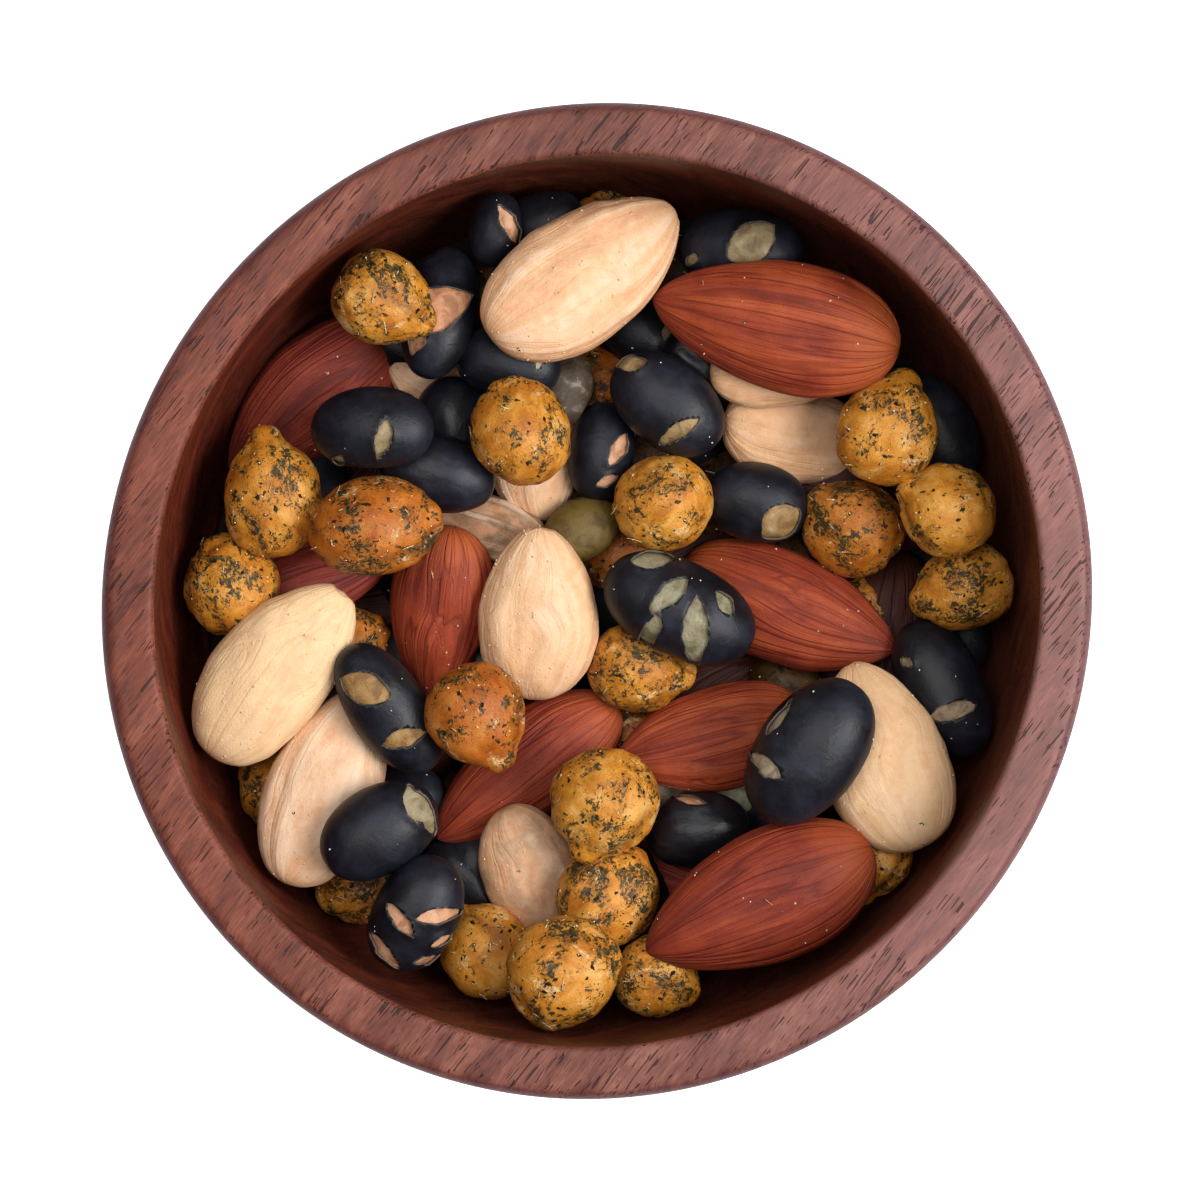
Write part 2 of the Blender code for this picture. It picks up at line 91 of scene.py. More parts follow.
# Nuts from the lowest to the topmost, as in the part's source: place and size in millimetres, and where the
# tip points. Tone goes from pale to dark; toward 1 a blanched almond or a whole kernel turns to a dark painted
# shade for a nut deep in the heap. Splits are where a bean's skin has opened: place, run, length and
# width. Flesh is the colour of the kernel there, from olive at 0 through grey-green, tan, grey cream and peach
# to grey-brown at 1, a painted shade. On a chickpea it says how thickly herbs cover its skin.
Nut = namedtuple("Nut", "kind x y heading long wide tone splits flesh", defaults=((), 0.5))
NUTS = [
    Nut("chickpea", 0.9, 37.2, 90, 9.2, 9.0, 0.6),
    Nut("chickpea", 0.0, 22.8, 40, 8.5, 8.1, 0.9),
    Nut("chickpea", 1.9, 5.2, 200, 8.7, 8.3, 0.9),
    Nut("chickpea", 28.4, -26.4, 250, 7.8, 7.6, 0.4),
    Nut("chickpea", -32.2, -19.4, 150, 8.8, 8.4, 0.6),
    Nut("chickpea", -24.1, -28.8, 205, 9.0, 8.4, 0.6),
    Nut("chickpea", -26.0, -4.8, 30, 9.2, 8.8, 0.7),
    Nut("chickpea", 27.1, -1.8, 80, 8.0, 7.4, 0.7),
    Nut("chickpea", 4.1, -13.5, 180, 8.4, 8.0, 0.9),
    Nut("almond", -28.7, 3.0, 20, 20.0, 10.2, 0.95),
    Nut("almond", 8.0, -26.5, 160, 19.0, 10.2, 0.95),
    Nut("almond", -29.0, 20.5, 222, 22.6, 11.8, 0.75),
    Nut("blanched", -12.9, 20.9, 157, 19.6, 9.6, 0.65),
    Nut("blanched", -6.9, 17.5, 95, 18.6, 9.4, 0.5),
    Nut("blanched", -12.4, 7.6, 162, 17.0, 7.0, 1.0),
    Nut("kernel", -1.9, 7.2, 30, 8.4, 6.4, 0.0),
    Nut("kernel", -3.9, 21.0, 60, 8.6, 6.0, 1.0),
    Nut("kernel", 6.5, -17.4, 0, 8.6, 6.4, 0.6),
    Nut("kernel", 12.8, -19.2, 5, 8.6, 5.6, 0.2),
    Nut("bean", -5.3, 38.0, 20, 9.0, 6.6, 0.3),
    Nut("bean", -14.4, 17.4, 90, 11.2, 8.4, 0.8),
    Nut("bean", -16.0, 13.2, -15, 11.8, 7.8, 0.7),
    Nut("bean", -8.7, 23.8, -10, 10.8, 7.4, 0.5, ((-5.4, 24.1, 70, 2.6, 1.0),), flesh=0.6),
    Nut("bean", 10.2, -22.9, 5, 10.6, 8.0, 0.9, ((9.4, -19.8, -15, 3.8, 0.8),), flesh=0.85),
    Nut("bean", 4.1, 27.4, -40, 10.2, 7.4, 0.6, ((7.4, 26.4, -70, 3.8, 2.0),), flesh=0.3),
    Nut("bean", 10.7, 24.0, -35, 9.8, 6.8, 0.9),
    Nut("bean", 34.2, 17.5, -60, 12.6, 8.4, 0.2),
    Nut("bean", 37.6, -3.6, 90, 7.6, 5.8, 0.4),
    Nut("bean", -12.7, -27.3, 80, 9.8, 7.6, 0.8),
    Nut("almond", 19.8, -0.6, -22, 24.0, 11.6, 0.45),
    Nut("almond", -15.7, -0.8, 262, 18.0, 10.6, 0.5),
    Nut("almond", 11.5, -14.0, 194, 19.6, 10.8, 0.35),
    Nut("almond", -7.2, -17.6, 217, 22.8, 10.4, 0.56),
    Nut("blanched", 20.4, 17.2, -12, 16.4, 10.2, 0.4),
    Nut("blanched", 18.9, 23.2, 5, 15.5, 8.0, 0.4),
    Nut("blanched", -27.5, -18.6, 68, 21.4, 11.6, 0.75),
    Nut("blanched", -5.9, -28.0, 295, 16.8, 9.6, 0.9),
    Nut("bean", -15.6, 28.8, 78, 13.8, 7.6, 0.5, (
        (-16.2, 28.9, 22, 8.6, 4.4), (-17.7, 26.6, 75, 4.6, 2.0)), flesh=0.8),
    Nut("bean", 0.2, 15.4, 80, 10.0, 6.8, 0.5, (
        (1.9, 15.5, 62, 3.8, 1.5), (0.8, 12.4, 25, 2.4, 1.0)), flesh=0.85),
    Nut("bean", 16.2, 10.3, -12, 10.6, 8.2, 0.5, ((18.5, 8.3, 35, 4.8, 3.4),), flesh=0.38),
    Nut("bean", 14.9, 35.8, -8, 12.6, 8.8, 0.4, (
        (15.8, 36.4, 35, 6.0, 4.0), (9.9, 34.9, 60, 1.4, 1.0)), flesh=0.3),
    Nut("bean", 35.4, -8.9, -64, 14.8, 8.6, 0.3, (
        (36.3, -11.1, 15, 5.2, 2.0), (31.8, -6.2, -30, 1.6, 1.0)), flesh=0.55),
    Nut("bean", -10.2, 38.2, 80, 7.6, 5.4, 0.4, ((-8.8, 38.6, -62, 4.6, 1.5),), flesh=0.85),
    Nut("chickpea", 25.8, 7.2, 140, 10.3, 10.0, 0.7, flesh=0.6),
    Nut("chickpea", -36.7, 1.3, 110, 10.2, 9.8, 0.3),
    Nut("chickpea", 3.9, -7.0, -10, 10.4, 9.6, 0.35),
    Nut("chickpea", 0.8, -29.8, 60, 10.6, 9.8, 0.5),
    Nut("chickpea", 6.0, -37.8, -30, 8.6, 8.4, 0.4),
    Nut("chickpea", -11.3, -35.7, 130, 9.8, 9.2, 0.45, flesh=0.1),
    Nut("chickpea", 37.0, 1.1, 200, 10.2, 9.3, 0.4),
    Nut("chickpea", 35.2, 8.8, 150, 9.6, 9.4, 0.35, flesh=0.4),
    Nut("chickpea", 29.4, 17.0, 70, 11.4, 10.0, 0.3, flesh=0.4),
    Nut("chickpea", 7.0, 9.9, 200, 10.2, 9.8, 0.35, flesh=0.4),
    Nut("chickpea", -22.6, 32.2, 330, 10.2, 9.9, 0.4, flesh=0.6),
    Nut("chickpea", -7.8, 16.7, 110, 10.8, 10.0, 0.5),
    Nut("chickpea", -32.8, 10.2, 97, 12.4, 9.8, 0.45),
    Nut("chickpea", -22.3, 7.8, 8, 13.0, 10.2, 0.8),
    Nut("almond", 18.1, 27.6, 168, 25.6, 13.2, 0.2),
    Nut("blanched", -1.7, 33.0, 35, 23.2, 13.0, 0.4),
    Nut("bean", -22.2, 17.0, 0, 12.4, 8.4, 0.2, (
        (-21.0, 16.0, 76, 4.4, 1.7), (-25.5, 13.9, -20, 1.4, 0.8)), flesh=0.3),
    Nut("blanched", -32.8, -7.0, 50, 22.0, 12.0, 0.1),
    Nut("blanched", -5.8, -0.9, 89, 18.0, 12.2, 0.3),
    Nut("bean", -21.2, -10.8, 125, 15.0, 7.8, 0.5, (
        (-23.4, -8.7, -22, 5.8, 3.2), (-19.6, -13.7, 18, 4.8, 1.9)), flesh=0.42),
    Nut("chickpea", -12.4, -11.3, 300, 10.4, 9.6, 0.85, flesh=0.35),
    Nut("bean", -22.1, -23.0, 32, 12.6, 8.8, 0.3, (
        (-18.7, -20.3, -75, 4.2, 1.6), (-17.3, -21.3, -70, 5.0, 1.4)), flesh=0.26),
    Nut("bean", -18.3, -31.0, 62, 12.4, 8.8, 0.4, flesh=0.85, splits=(
        (-19.8, -31.5, -52, 4.4, 1.4), (-16.0, -31.1, 10, 4.8, 1.5), (-15.6, -33.6, 25, 2.8, 0.9),
        (-16.9, -35.6, 12, 3.4, 0.9), (-21.4, -34.7, -52, 5.0, 1.2))),
    Nut("bean", 7.1, 19.6, -38, 12.8, 8.8, 0.2, (
        (3.5, 23.5, 8, 3.2, 1.6), (8.3, 16.8, 30, 5.4, 1.5)), flesh=0.35),
    Nut("bean", 8.1, -1.0, -27, 16.2, 10.0, 0.4, (
        (5.4, 3.9, 5, 4.6, 1.9), (7.0, 0.4, 40, 5.4, 2.0), (5.2, -3.3, 65, 4.4, 1.8), (9.7, -3.3, 88, 7.8, 2.6),
        (12.5, -0.5, -55, 3.0, 1.4)), flesh=0.22),
    Nut("blanched", 31.3, -16.6, 110, 20.2, 12.8, 0.22),
    Nut("almond", 16.2, -30.2, 205, 25.0, 13.2, 0.62),
    Nut("bean", 21.5, -15.0, 55, 16.2, 10.6, 0.1, (
        (18.5, -11.6, 52, 5.0, 0.7), (17.1, -16.4, -40, 4.2, 1.6)), flesh=0.6),
    Nut("chickpea", 0.7, -20.6, 250, 11.4, 10.8, 0.35, flesh=0.42),
    Nut("chickpea", -3.4, -39.1, 20, 11.6, 11.0, 0.45),
]

# Tips as they are finished, rounder than in the plain solids.
ROUND_TIPS = {"almond": 0.68, "blanched": 0.62, "chickpea": 0.51}

# How finely each kind is made: sides round it, and steps along it.
FINENESS = {
    "almond": (96, 72), "blanched": (84, 60), "bean": (60, 42), "kernel": (32, 24), "chickpea": (60, 44),
}
SPLIT_FINENESS = (62, 47)
INSIDE_FINENESS = (48, 34)
BOWL_SIDES = 240
INSIDE_STEPS = 25
BOTTOM_SIDES = 72

# Hidden nuts: their lengths and widths in millimetres, the order they come in, and how high and how far they lie.
HIDDEN_FINENESS = (20, 14)
HIDDEN_SIZES = {"chickpea": (9.4, 9.2), "bean": (12.0, 8.2), "almond": (21.0, 11.0)}
HIDDEN_ORDER = ["bean", "chickpea", "bean", "almond", "bean"]
HIDDEN_COUNT = 70
HIDDEN_REACH = 40.5
HIDDEN_LOWEST = -1.0 * MM
HIDDEN_HIGHEST = 2.0 * MM
HIDDEN_COVER = 6.5 * MM
HIDDEN_LEAN = 0.3
SPIRAL_TURN = 2.39996

BOTTOM_DROP = 1.0 * MM
BOTTOM_GAP = 0.8 * MM
SKIN = 0.16 * MM
KERNEL_SHRINK = 0.24 * MM
EDGE_WIDTH = 0.7 * MM
EDGE_DEPTH = 2.2 * MM
SEED = 11


# Settling, as in the part's source.

def oval(points, share=OVALITY):
    """Places seen from above, drawn out along the wood's grain and in across it by a share."""
    along = np.array([math.cos(GRAIN_HEADING), math.sin(GRAIN_HEADING)])
    flat = np.asarray(points, float)[..., :2]
    reach = flat @ along
    return flat * (1 - share) + reach[..., None] * along * (2 * share)


def hollow_height(radius):
    """The height of the bowl's inside over a radius."""
    share = np.clip(radius / INNER_RADIUS, 0.0, 1.0)
    return HOLLOW_TOP - INNER_DEPTH * (1 - share**INNER_ROUNDNESS) ** (1 / INNER_ROUNDNESS)


def core_height(radius):
    """The height of the heap's core, which rises towards the wall."""
    return CORE_TOP + (CORE_EDGE_TOP - CORE_TOP) * (radius / INNER_RADIUS) ** 2


def swell(share, tip, end):
    """The half width at a place along a nut, from -1 at its round end to 1 at its tip, as a share of the widest."""
    widest = (end - tip) / (end + tip)
    most = (1 - widest) ** tip * (1 + widest) ** end
    inside = np.clip(share, -1.0, 1.0)
    return (1 - inside) ** tip * (1 + inside) ** end / most


def kept_inside(nut):
    """The nut's centre, in metres, moved in from the wall where its outline would reach past it."""
    x, y = nut.x * READ_MM, nut.y * READ_MM
    kind, turn = KINDS[nut.kind], math.radians(nut.heading)
    share = np.linspace(-1.0, 1.0, 25)
    half_wide = swell(share, kind.tip, kind.end) * nut.wide * READ_MM / 2
    along = np.concatenate([share, share]) * nut.long * READ_MM / 2
    across = np.concatenate([half_wide, -half_wide])
    outline_x = x + along * math.cos(turn) - across * math.sin(turn)
    outline_y = y + along * math.sin(turn) + across * math.cos(turn)
    outline = oval(np.stack([outline_x, outline_y], axis=-1), -OVALITY)
    excess = float(np.linalg.norm(outline, axis=-1).max()) - NUT_REACH
    if excess > 0:
        inward = excess / math.hypot(x, y)
        x, y = x * (1 - inward), y * (1 - inward)
    return x, y


def empty_bed():
    """Grid coordinates, and the heights that the first nuts rest on: the nest in the core, and the wall."""
    axis = np.arange(-OUTER_RADIUS, OUTER_RADIUS, CELL)
    grid_x, grid_y = np.meshgrid(axis, axis, indexing="ij")
    radius = np.linalg.norm(oval(np.stack([grid_x, grid_y], axis=-1), -OVALITY), axis=-1) + NUT_WALL_GAP
    wall = np.where(radius < INNER_RADIUS, hollow_height(radius), HOLLOW_TOP)
    nest = core_height(np.hypot(grid_x, grid_y)) - NEST_DEPTH
    return grid_x, grid_y, np.maximum(wall + PRESS, nest)


def settle(nut, bed):
    """Lays a nut on the bed, where its middle comes lowest, and adds its top to the bed's heights.

    Returns the centre and the slopes along and across the nut.
    """
    grid_x, grid_y, heights = bed
    kind, turn = KINDS[nut.kind], math.radians(nut.heading)
    x, y = kept_inside(nut)
    steepest = 0.0 if nut.kind == "chickpea" else STEEPEST
    slopes = np.linspace(-steepest, steepest, SLOPE_STEPS)
    best = None
    for slide_x, slide_y in SLIDES:
        along = (grid_x - x - slide_x) * math.cos(turn) + (grid_y - y - slide_y) * math.sin(turn)
        across = (grid_y - y - slide_y) * math.cos(turn) - (grid_x - x - slide_x) * math.sin(turn)
        form = swell(along / (nut.long * READ_MM / 2), kind.tip, kind.end)
        side = across / np.maximum(form * nut.wide * READ_MM / 2, 1e-9)
        under = (form > 0) & (np.abs(side) < 1)
        along, across = along[under], across[under]
        half = form[under] * kind.thick * nut.wide * READ_MM / 2 * np.sqrt(1 - side[under] ** 2)
        for pitch in slopes:
            for roll in slopes:
                tilt = pitch * along + roll * across
                height = float((heights[under] - tilt + half).max())
                effort = height + LEVELNESS * (pitch**2 + roll**2)
                if best is None or effort < best[0] - 1e-9:
                    best = (effort, height, pitch, roll, slide_x, slide_y, under, height + tilt + half)
    _, height, pitch, roll, slide_x, slide_y, under, top = best
    heights[under] = np.maximum(heights[under], top - PRESS)
    return (x + slide_x, y + slide_y, height - PRESS), pitch, roll


def laid(nut, place):
    """The turn and the move that lay a nut, made lengthwise on X, in its place."""
    centre, pitch, roll = place
    turn = (
        Matrix.Rotation(math.radians(nut.heading), 3, "Z")
        @ Matrix.Rotation(-math.atan(pitch), 3, "Y")
        @ Matrix.Rotation(math.atan(roll), 3, "X")
    )
    return np.array(turn), np.array(centre)


# Noise and meshes.

def noise(points, seed):
    """Smooth noise from -1 to 1 with lumps of about one unit."""
    corner = np.floor(points)
    inside = points - corner
    inside = inside * inside * (3 - 2 * inside)
    total = np.zeros(len(points))
    for step in itertools.product((0.0, 1.0), repeat=3):
        key = (corner + step) @ np.array([127.1, 311.7, 74.7]) + seed * 53.3
        value = np.modf(np.sin(key) * 43758.5453)[0]
        share = np.prod(np.where(np.array(step) > 0, inside, 1 - inside), axis=1)
        total += share * value
    return total


def layered(points, seed):
    """Smooth noise with two finer and weaker layers on it."""
    total = np.zeros(len(points))
    for layer, size in enumerate((1.0, 0.5, 0.25)):
        total += noise(points * 2**layer, seed + layer * 7.7) * size
    return total


def ring_faces(rings, sides):
    """Triangles between rings of points, with the first and last points closing the ends."""
    here = 1 + np.arange(rings)[:, None] * sides + np.arange(sides)[None, :]
    beside = np.roll(here, -1, axis=1)
    return np.concatenate([
        np.stack([here[:-1], here[1:], beside[1:]], axis=-1).reshape(-1, 3),
        np.stack([here[:-1], beside[1:], beside[:-1]], axis=-1).reshape(-1, 3),
        np.stack([np.zeros(sides, int), here[0], beside[0]], axis=-1),
        np.stack([np.full(sides, 1 + rings * sides), beside[-1], here[-1]], axis=-1),
    ])


def ball_grid(around, along):
    """Angles of a ball's points, from the round end to the tip, and its triangles."""
    rows = np.linspace(0.0, math.pi, along + 1)[1:-1]
    turns = np.linspace(0.0, math.tau, around, endpoint=False)
    from_end = np.concatenate([[0.0], np.repeat(rows, around), [math.pi]])
    turn = np.concatenate([[0.0], np.tile(turns, along - 1), [0.0]])
    return from_end, turn, ring_faces(along - 1, around)[:, ::-1]


def outward(points, faces):
    """The smooth outward direction at each point."""
    a, b, c = (points[faces[:, i]] for i in range(3))
    across = np.cross(b - a, c - a)
    total = np.zeros_like(points)
    for i in range(3):
        np.add.at(total, faces[:, i], across)
    return total / np.maximum(np.linalg.norm(total, axis=1), 1e-12)[:, None]


class Pile:
    """Gathers many small meshes of one finish, with what their material reads at each point."""

    def __init__(self):
        self.points, self.faces, self.facts, self.count = [], [], {}, 0

    def add(self, points, faces, **facts):
        self.points.append(points)
        self.faces.append(faces + self.count)
        for name, value in facts.items():
            value = np.asarray(value, float)
            self.facts.setdefault(name, []).append(value if value.ndim else np.full(len(points), value))
        self.count += len(points)

    def made(self, name, material):
        """The gathered meshes as one object."""
        points, faces = np.concatenate(self.points), np.concatenate(self.faces)
        mesh = bpy.data.meshes.new(name)
        mesh.vertices.add(len(points))
        mesh.vertices.foreach_set("co", points.astype(np.float32).ravel())
        mesh.loops.add(faces.size)
        mesh.loops.foreach_set("vertex_index", faces.astype(np.int32).ravel())
        mesh.polygons.add(len(faces))
        mesh.polygons.foreach_set("loop_start", np.arange(0, faces.size, 3, dtype=np.int32))
        mesh.update(calc_edges=True)
        for fact, parts in self.facts.items():
            values = np.concatenate(parts)
            kind, field = ("FLOAT_VECTOR", "vector") if values.ndim > 1 else ("FLOAT", "value")
            layer = mesh.attributes.new(fact, kind, "POINT")
            layer.data.foreach_set(field, values.astype(np.float32).ravel())
        mesh.shade_smooth()
        mesh.materials.append(material)
        made = bpy.data.objects.new(name, mesh)
        bpy.context.scene.collection.objects.link(made)
        return made


# The forms of the nuts, made lengthwise on X, and what their finishes read.

def base_form(nut, fineness, edge=2.0):
    """A nut's plain form: its points, triangles, share along it, turn round it and share of its full width."""
    kind = KINDS[nut.kind]
    from_end, turn, faces = ball_grid(*fineness)
    share = -np.cos(from_end)
    half = swell(share, ROUND_TIPS.get(nut.kind, kind.tip), kind.end) * nut.wide * READ_MM / 2
    half[0] = half[-1] = 0.0
    side = np.sign(np.cos(turn)) * np.abs(np.cos(turn)) ** (2 / edge)
    rise = np.sign(np.sin(turn)) * np.abs(np.sin(turn)) ** (2 / edge)
    points = np.stack([share * nut.long * READ_MM / 2, side * half, kind.thick * rise * half], axis=-1)
    return points, faces, share, turn, half / (nut.wide * READ_MM / 2)


def strand_place(share, turn, number, count):
    """A place that runs slowly along a nut and fast round it, for grooves that meet at its ends."""
    return np.stack([np.cos(turn) * count, np.sin(turn) * count, share * 1.1 + number * 3.7], axis=-1)


def almond_form(nut, number, fineness):
    """A flat drop with sharp lengthwise ridges."""
    points, faces, share, turn, bulk = base_form(nut, fineness, edge=1.85)
    ridge, lump, bow = 0.13 * MM, 0.24 * MM, 0.35 * MM
    strands = strand_place(share, turn, number, 3.2)
    wander = noise(strands * (0.35, 0.35, 1.3), number + 5) * 0.5
    strands[:, :2] += wander[:, None]
    ridges = np.abs(noise(strands, number + 1)) + 0.6 * np.abs(noise(strands * (2.0, 2.0, 1.4), number + 2))
    relief = np.clip(ridges * 1.3 - 0.45, -0.5, 0.6)
    lumps = noise(points / (5.0 * MM), number + 3)
    swelling = ridge * relief * bulk + lump * lumps * bulk
    points += outward(points, faces) * swelling[:, None]
    points[:, 1] += bow * (1 - share**2) * math.sin(number * 2.1)
    return points, faces, {"strands": strands, "relief": relief, "share": share}


def blanched_form(nut, number, fineness):
    """A fuller drop with soft ridges, deeper on a darker nut, and a chipped tip."""
    points, faces, share, turn, bulk = base_form(nut, fineness, edge=2.2)
    lump, bow, chip_grain = 0.24 * MM, 0.5 * MM, 0.9 * MM
    strands = strand_place(share, turn, number, 3.4)
    strands[:, :2] += noise(strands * (0.3, 0.3, 2.2), number + 5)[:, None] * 0.9
    relief = noise(strands, number + 1) * 0.7 + noise(strands * (1.8, 1.8, 1.3), number + 2) * 0.3
    lumps = layered(points / (4.4 * MM), number + 3)
    ridge = (0.05 + 0.17 * min(1.0, max(0.0, nut.tone - 0.08) / 0.32)) * MM
    swelling = ridge * relief * bulk + lump * lumps * bulk
    points += outward(points, faces) * swelling[:, None]
    chip = (0.955 + 0.025 * math.sin(number * 5.1)) * nut.long * READ_MM / 2
    slant = 0.3 * math.sin(number * 3.3) * points[:, 1]
    chip = chip + slant + 0.22 * MM * noise(points / chip_grain, number + 7)
    points[:, 0] = np.minimum(points[:, 0], chip)
    points[:, 1] += bow * (1 - share**2) * math.sin(number * 1.7)
    return points, faces, {"strands": strands, "relief": relief, "share": share}


def bean_form(nut, number, fineness, shrink=0.0):
    """A smooth bean, more wrinkled on a darker one, with a dent in its side."""
    points, faces, share, turn, bulk = base_form(nut, fineness)
    dent_depth, lump = 0.5 * MM, 0.16 * MM
    dent = np.exp(-((turn - 1.2 * math.pi) / 0.5) ** 2) * np.exp(-((share - 0.05) / 0.45) ** 2)
    wrinkles = np.abs(layered(points / (2.8 * MM) * (0.6, 1, 1), number + 4))
    lumps = noise(points / (5.5 * MM), number + 6)
    wrinkle = (0.04 + 0.55 * max(0.0, nut.tone - 0.55)) * MM
    swelling = (lump * lumps - wrinkle * wrinkles - dent_depth * dent - shrink) * np.maximum(bulk, 0.35)
    points += outward(points, faces) * swelling[:, None]
    return points, faces, {"spot": points / MM + number * 9.1}


def chickpea_form(nut, number, fineness):
    """A lumpy ball of two cheeks, with a furrow between them, a beak at its tip, dents and creases."""
    points, faces, share, turn, _ = base_form(nut, fineness)
    size = nut.wide * READ_MM / 2
    furrow_depth, dent_depth, crease_depth = 0.34 * MM, 0.5 * MM, 0.16 * MM
    lean = (number * 2.399) % math.tau
    beak = np.exp(-((1 - share) / 0.06) ** 2) * (0.25 + 0.75 * (number * 0.618 % 1)) * MM
    aside = np.abs(turn - lean)
    furrow = np.exp(-(np.minimum(aside, math.tau - aside) / 0.16) ** 2) * np.clip((share + 0.5) / 0.6, 0, 1)
    cheeks = 0.04 * np.cos(2 * (turn - lean)) * (1 - share**2)
    lumps = noise(points / (4.2 * MM), number + 3) + 0.5 * layered(points / (1.9 * MM), number + 4)
    dents = np.clip(noise(points / (2.4 * MM), number + 8) - 0.3, 0, 1)
    creases = np.exp(-(noise(points / (3.0 * MM), number + 9) / 0.07) ** 2) * np.clip(share + 0.4, 0.0, 1.0)
    hollows = furrow_depth * furrow + dent_depth * dents + crease_depth * creases
    swelling = beak + size * (cheeks + 0.05 * lumps) - hollows
    points += outward(points, faces) * swelling[:, None]
    return points, faces, {"spot": points / MM + number * 9.1, "furrow": furrow, "herbs": nut.flesh}


def open_skin(faces, gap):
    """Cuts a skin along where gap is zero, keeps where it is positive, and gives it an inner side.

    Each point of the result lies between two points of the whole skin. Returns those two, the share from the
    first to the second, and the triangles, whose inner points come after all the outer ones.
    """
    keep = gap > 0
    kept_corners = keep[faces].sum(axis=1)
    pairs = [(i, i) for i in range(len(gap))]
    new_at, added = {}, []

    def crossing(inner, outer):
        if (inner, outer) not in new_at:
            new_at[inner, outer] = len(pairs)
            pairs.append((inner, outer))
        return new_at[inner, outer]

    for face, kept in zip(faces.tolist(), kept_corners.tolist()):
        if kept not in (1, 2):
            continue
        while keep[face[0]] != (kept == 1):
            face = face[1:] + face[:1]
        a, b, c = face
        if kept == 1:
            added.append((a, crossing(a, b), crossing(a, c)))
        else:
            near_b, near_c = crossing(b, a), crossing(c, a)
            added += [(near_b, b, c), (near_b, c, near_c)]
    outer = np.concatenate([faces[kept_corners == 3], np.array(added, int).reshape(-1, 3)])
    used, outer = np.unique(outer, return_inverse=True)
    outer = outer.reshape(-1, 3)
    first, second = np.array(pairs)[used].T
    share = np.where(first == second, 0.0, gap[first] / np.maximum(gap[first] - gap[second], 1e-9))
    count = len(used)
    edges = np.concatenate([outer[:, [0, 1]], outer[:, [1, 2]], outer[:, [2, 0]]]).tolist()
    there = {(a, b) for a, b in edges}
    rim = np.array([(a, b) for a, b in edges if (b, a) not in there], int).reshape(-1, 2)
    bridge = np.concatenate([
        np.stack([rim[:, 0], rim[:, 0] + count, rim[:, 1]], axis=-1),
        np.stack([rim[:, 1], rim[:, 0] + count, rim[:, 1] + count], axis=-1),
    ])
    return first, second, share, np.concatenate([outer, outer[:, ::-1] + count, bridge])


def split_gap(world, nut, centre, number):
    """How far each point of a bean is from the edge of the nearest opening in its skin, in metres."""
    gap = np.full(len(world), 1.0)
    upper = world[:, 2] > centre[2] - 0.5 * MM
    for at_x, at_y, heading, long, wide in nut.splits:
        turn = math.radians(heading)
        x = world[:, 0] - at_x * READ_MM - (centre[0] - nut.x * READ_MM)
        y = world[:, 1] - at_y * READ_MM - (centre[1] - nut.y * READ_MM)
        u = (x * math.cos(turn) + y * math.sin(turn)) / (long * MM / 2)
        v = y * math.cos(turn) - x * math.sin(turn)
        ragged = noise(world / (0.9 * MM), number + 12) * 0.16 * MM
        ragged = ragged + noise(world / (0.35 * MM), number + 13) * 0.06 * MM
        distance = np.abs(v) - wide * MM / 2 * (1 - u * u) + ragged
        gap = np.where(upper, np.minimum(gap, np.maximum(distance, (np.abs(u) - 1) * long * MM / 2)), gap)
    return gap


def split_bean(nut, number, place, skins, insides):
    """A bean whose skin has split: the opened skin, its edges lifted, over a kernel that shows in the openings."""
    turn, centre = laid(nut, place)
    points, faces, facts = bean_form(nut, number, SPLIT_FINENESS)
    whole = points @ turn.T + centre
    gap = split_gap(whole, nut, centre, number)
    out = outward(whole, faces)
    lip = np.exp(-(np.maximum(gap, 0) / (0.4 * MM)) ** 2)
    lift = 0.2 * MM * lip * (0.7 + 0.9 * noise(whole / (2.0 * MM), number + 15))
    first, second, share, both = open_skin(faces, gap)

    def between(values):
        weight = share if values.ndim == 1 else share[:, None]
        return values[first] * (1 - weight) + values[second] * weight

    outer = between(whole + out * lift[:, None])
    inner = between(whole + out * (lift - SKIN)[:, None])
    skins.add(
        np.concatenate([outer, inner]), both, tone=nut.tone, spot=np.concatenate([between(facts["spot"])] * 2),
        lip=np.concatenate([between(lip), np.ones(len(inner))]),
    )
    points, faces, facts = bean_form(nut, number, INSIDE_FINENESS, shrink=KERNEL_SHRINK)
    insides.add(points @ turn.T + centre, faces, tone=nut.flesh, spot=facts["spot"])


FORMS = {
    "almond": almond_form, "blanched": blanched_form, "bean": bean_form, "kernel": bean_form,
    "chickpea": chickpea_form,
}


def add_nut(piles, nut, number, place, fineness, buried=0.0):
    """A whole nut, added to its kind's pile."""
    turn, centre = laid(nut, place)
    points, faces, facts = FORMS[nut.kind](nut, number, fineness)
    if nut.kind == "bean":
        facts["lip"] = 0.0
    elif nut.kind != "kernel":
        # Nuts under the heap get painted shade that turns them nearly black.
        facts["buried"] = buried
    piles[nut.kind].add(points @ turn.T + centre, faces, tone=nut.tone, **facts)


def settled_nuts():
    """Every nut in its place, gathered by kind, with the skins of split beans in a pile of their own."""
    piles = {name: Pile() for name in (*KINDS, "split")}
    bed = empty_bed()
    nest = bed[2].copy()
    for number, nut in enumerate(NUTS):
        place = settle(nut, bed)
        if nut.splits:
            split_bean(nut, number, place, piles["split"], piles["kernel"])
        else:
            add_nut(piles, nut, number, place, FINENESS[nut.kind])
    add_hidden(piles, bed, nest)
    return piles


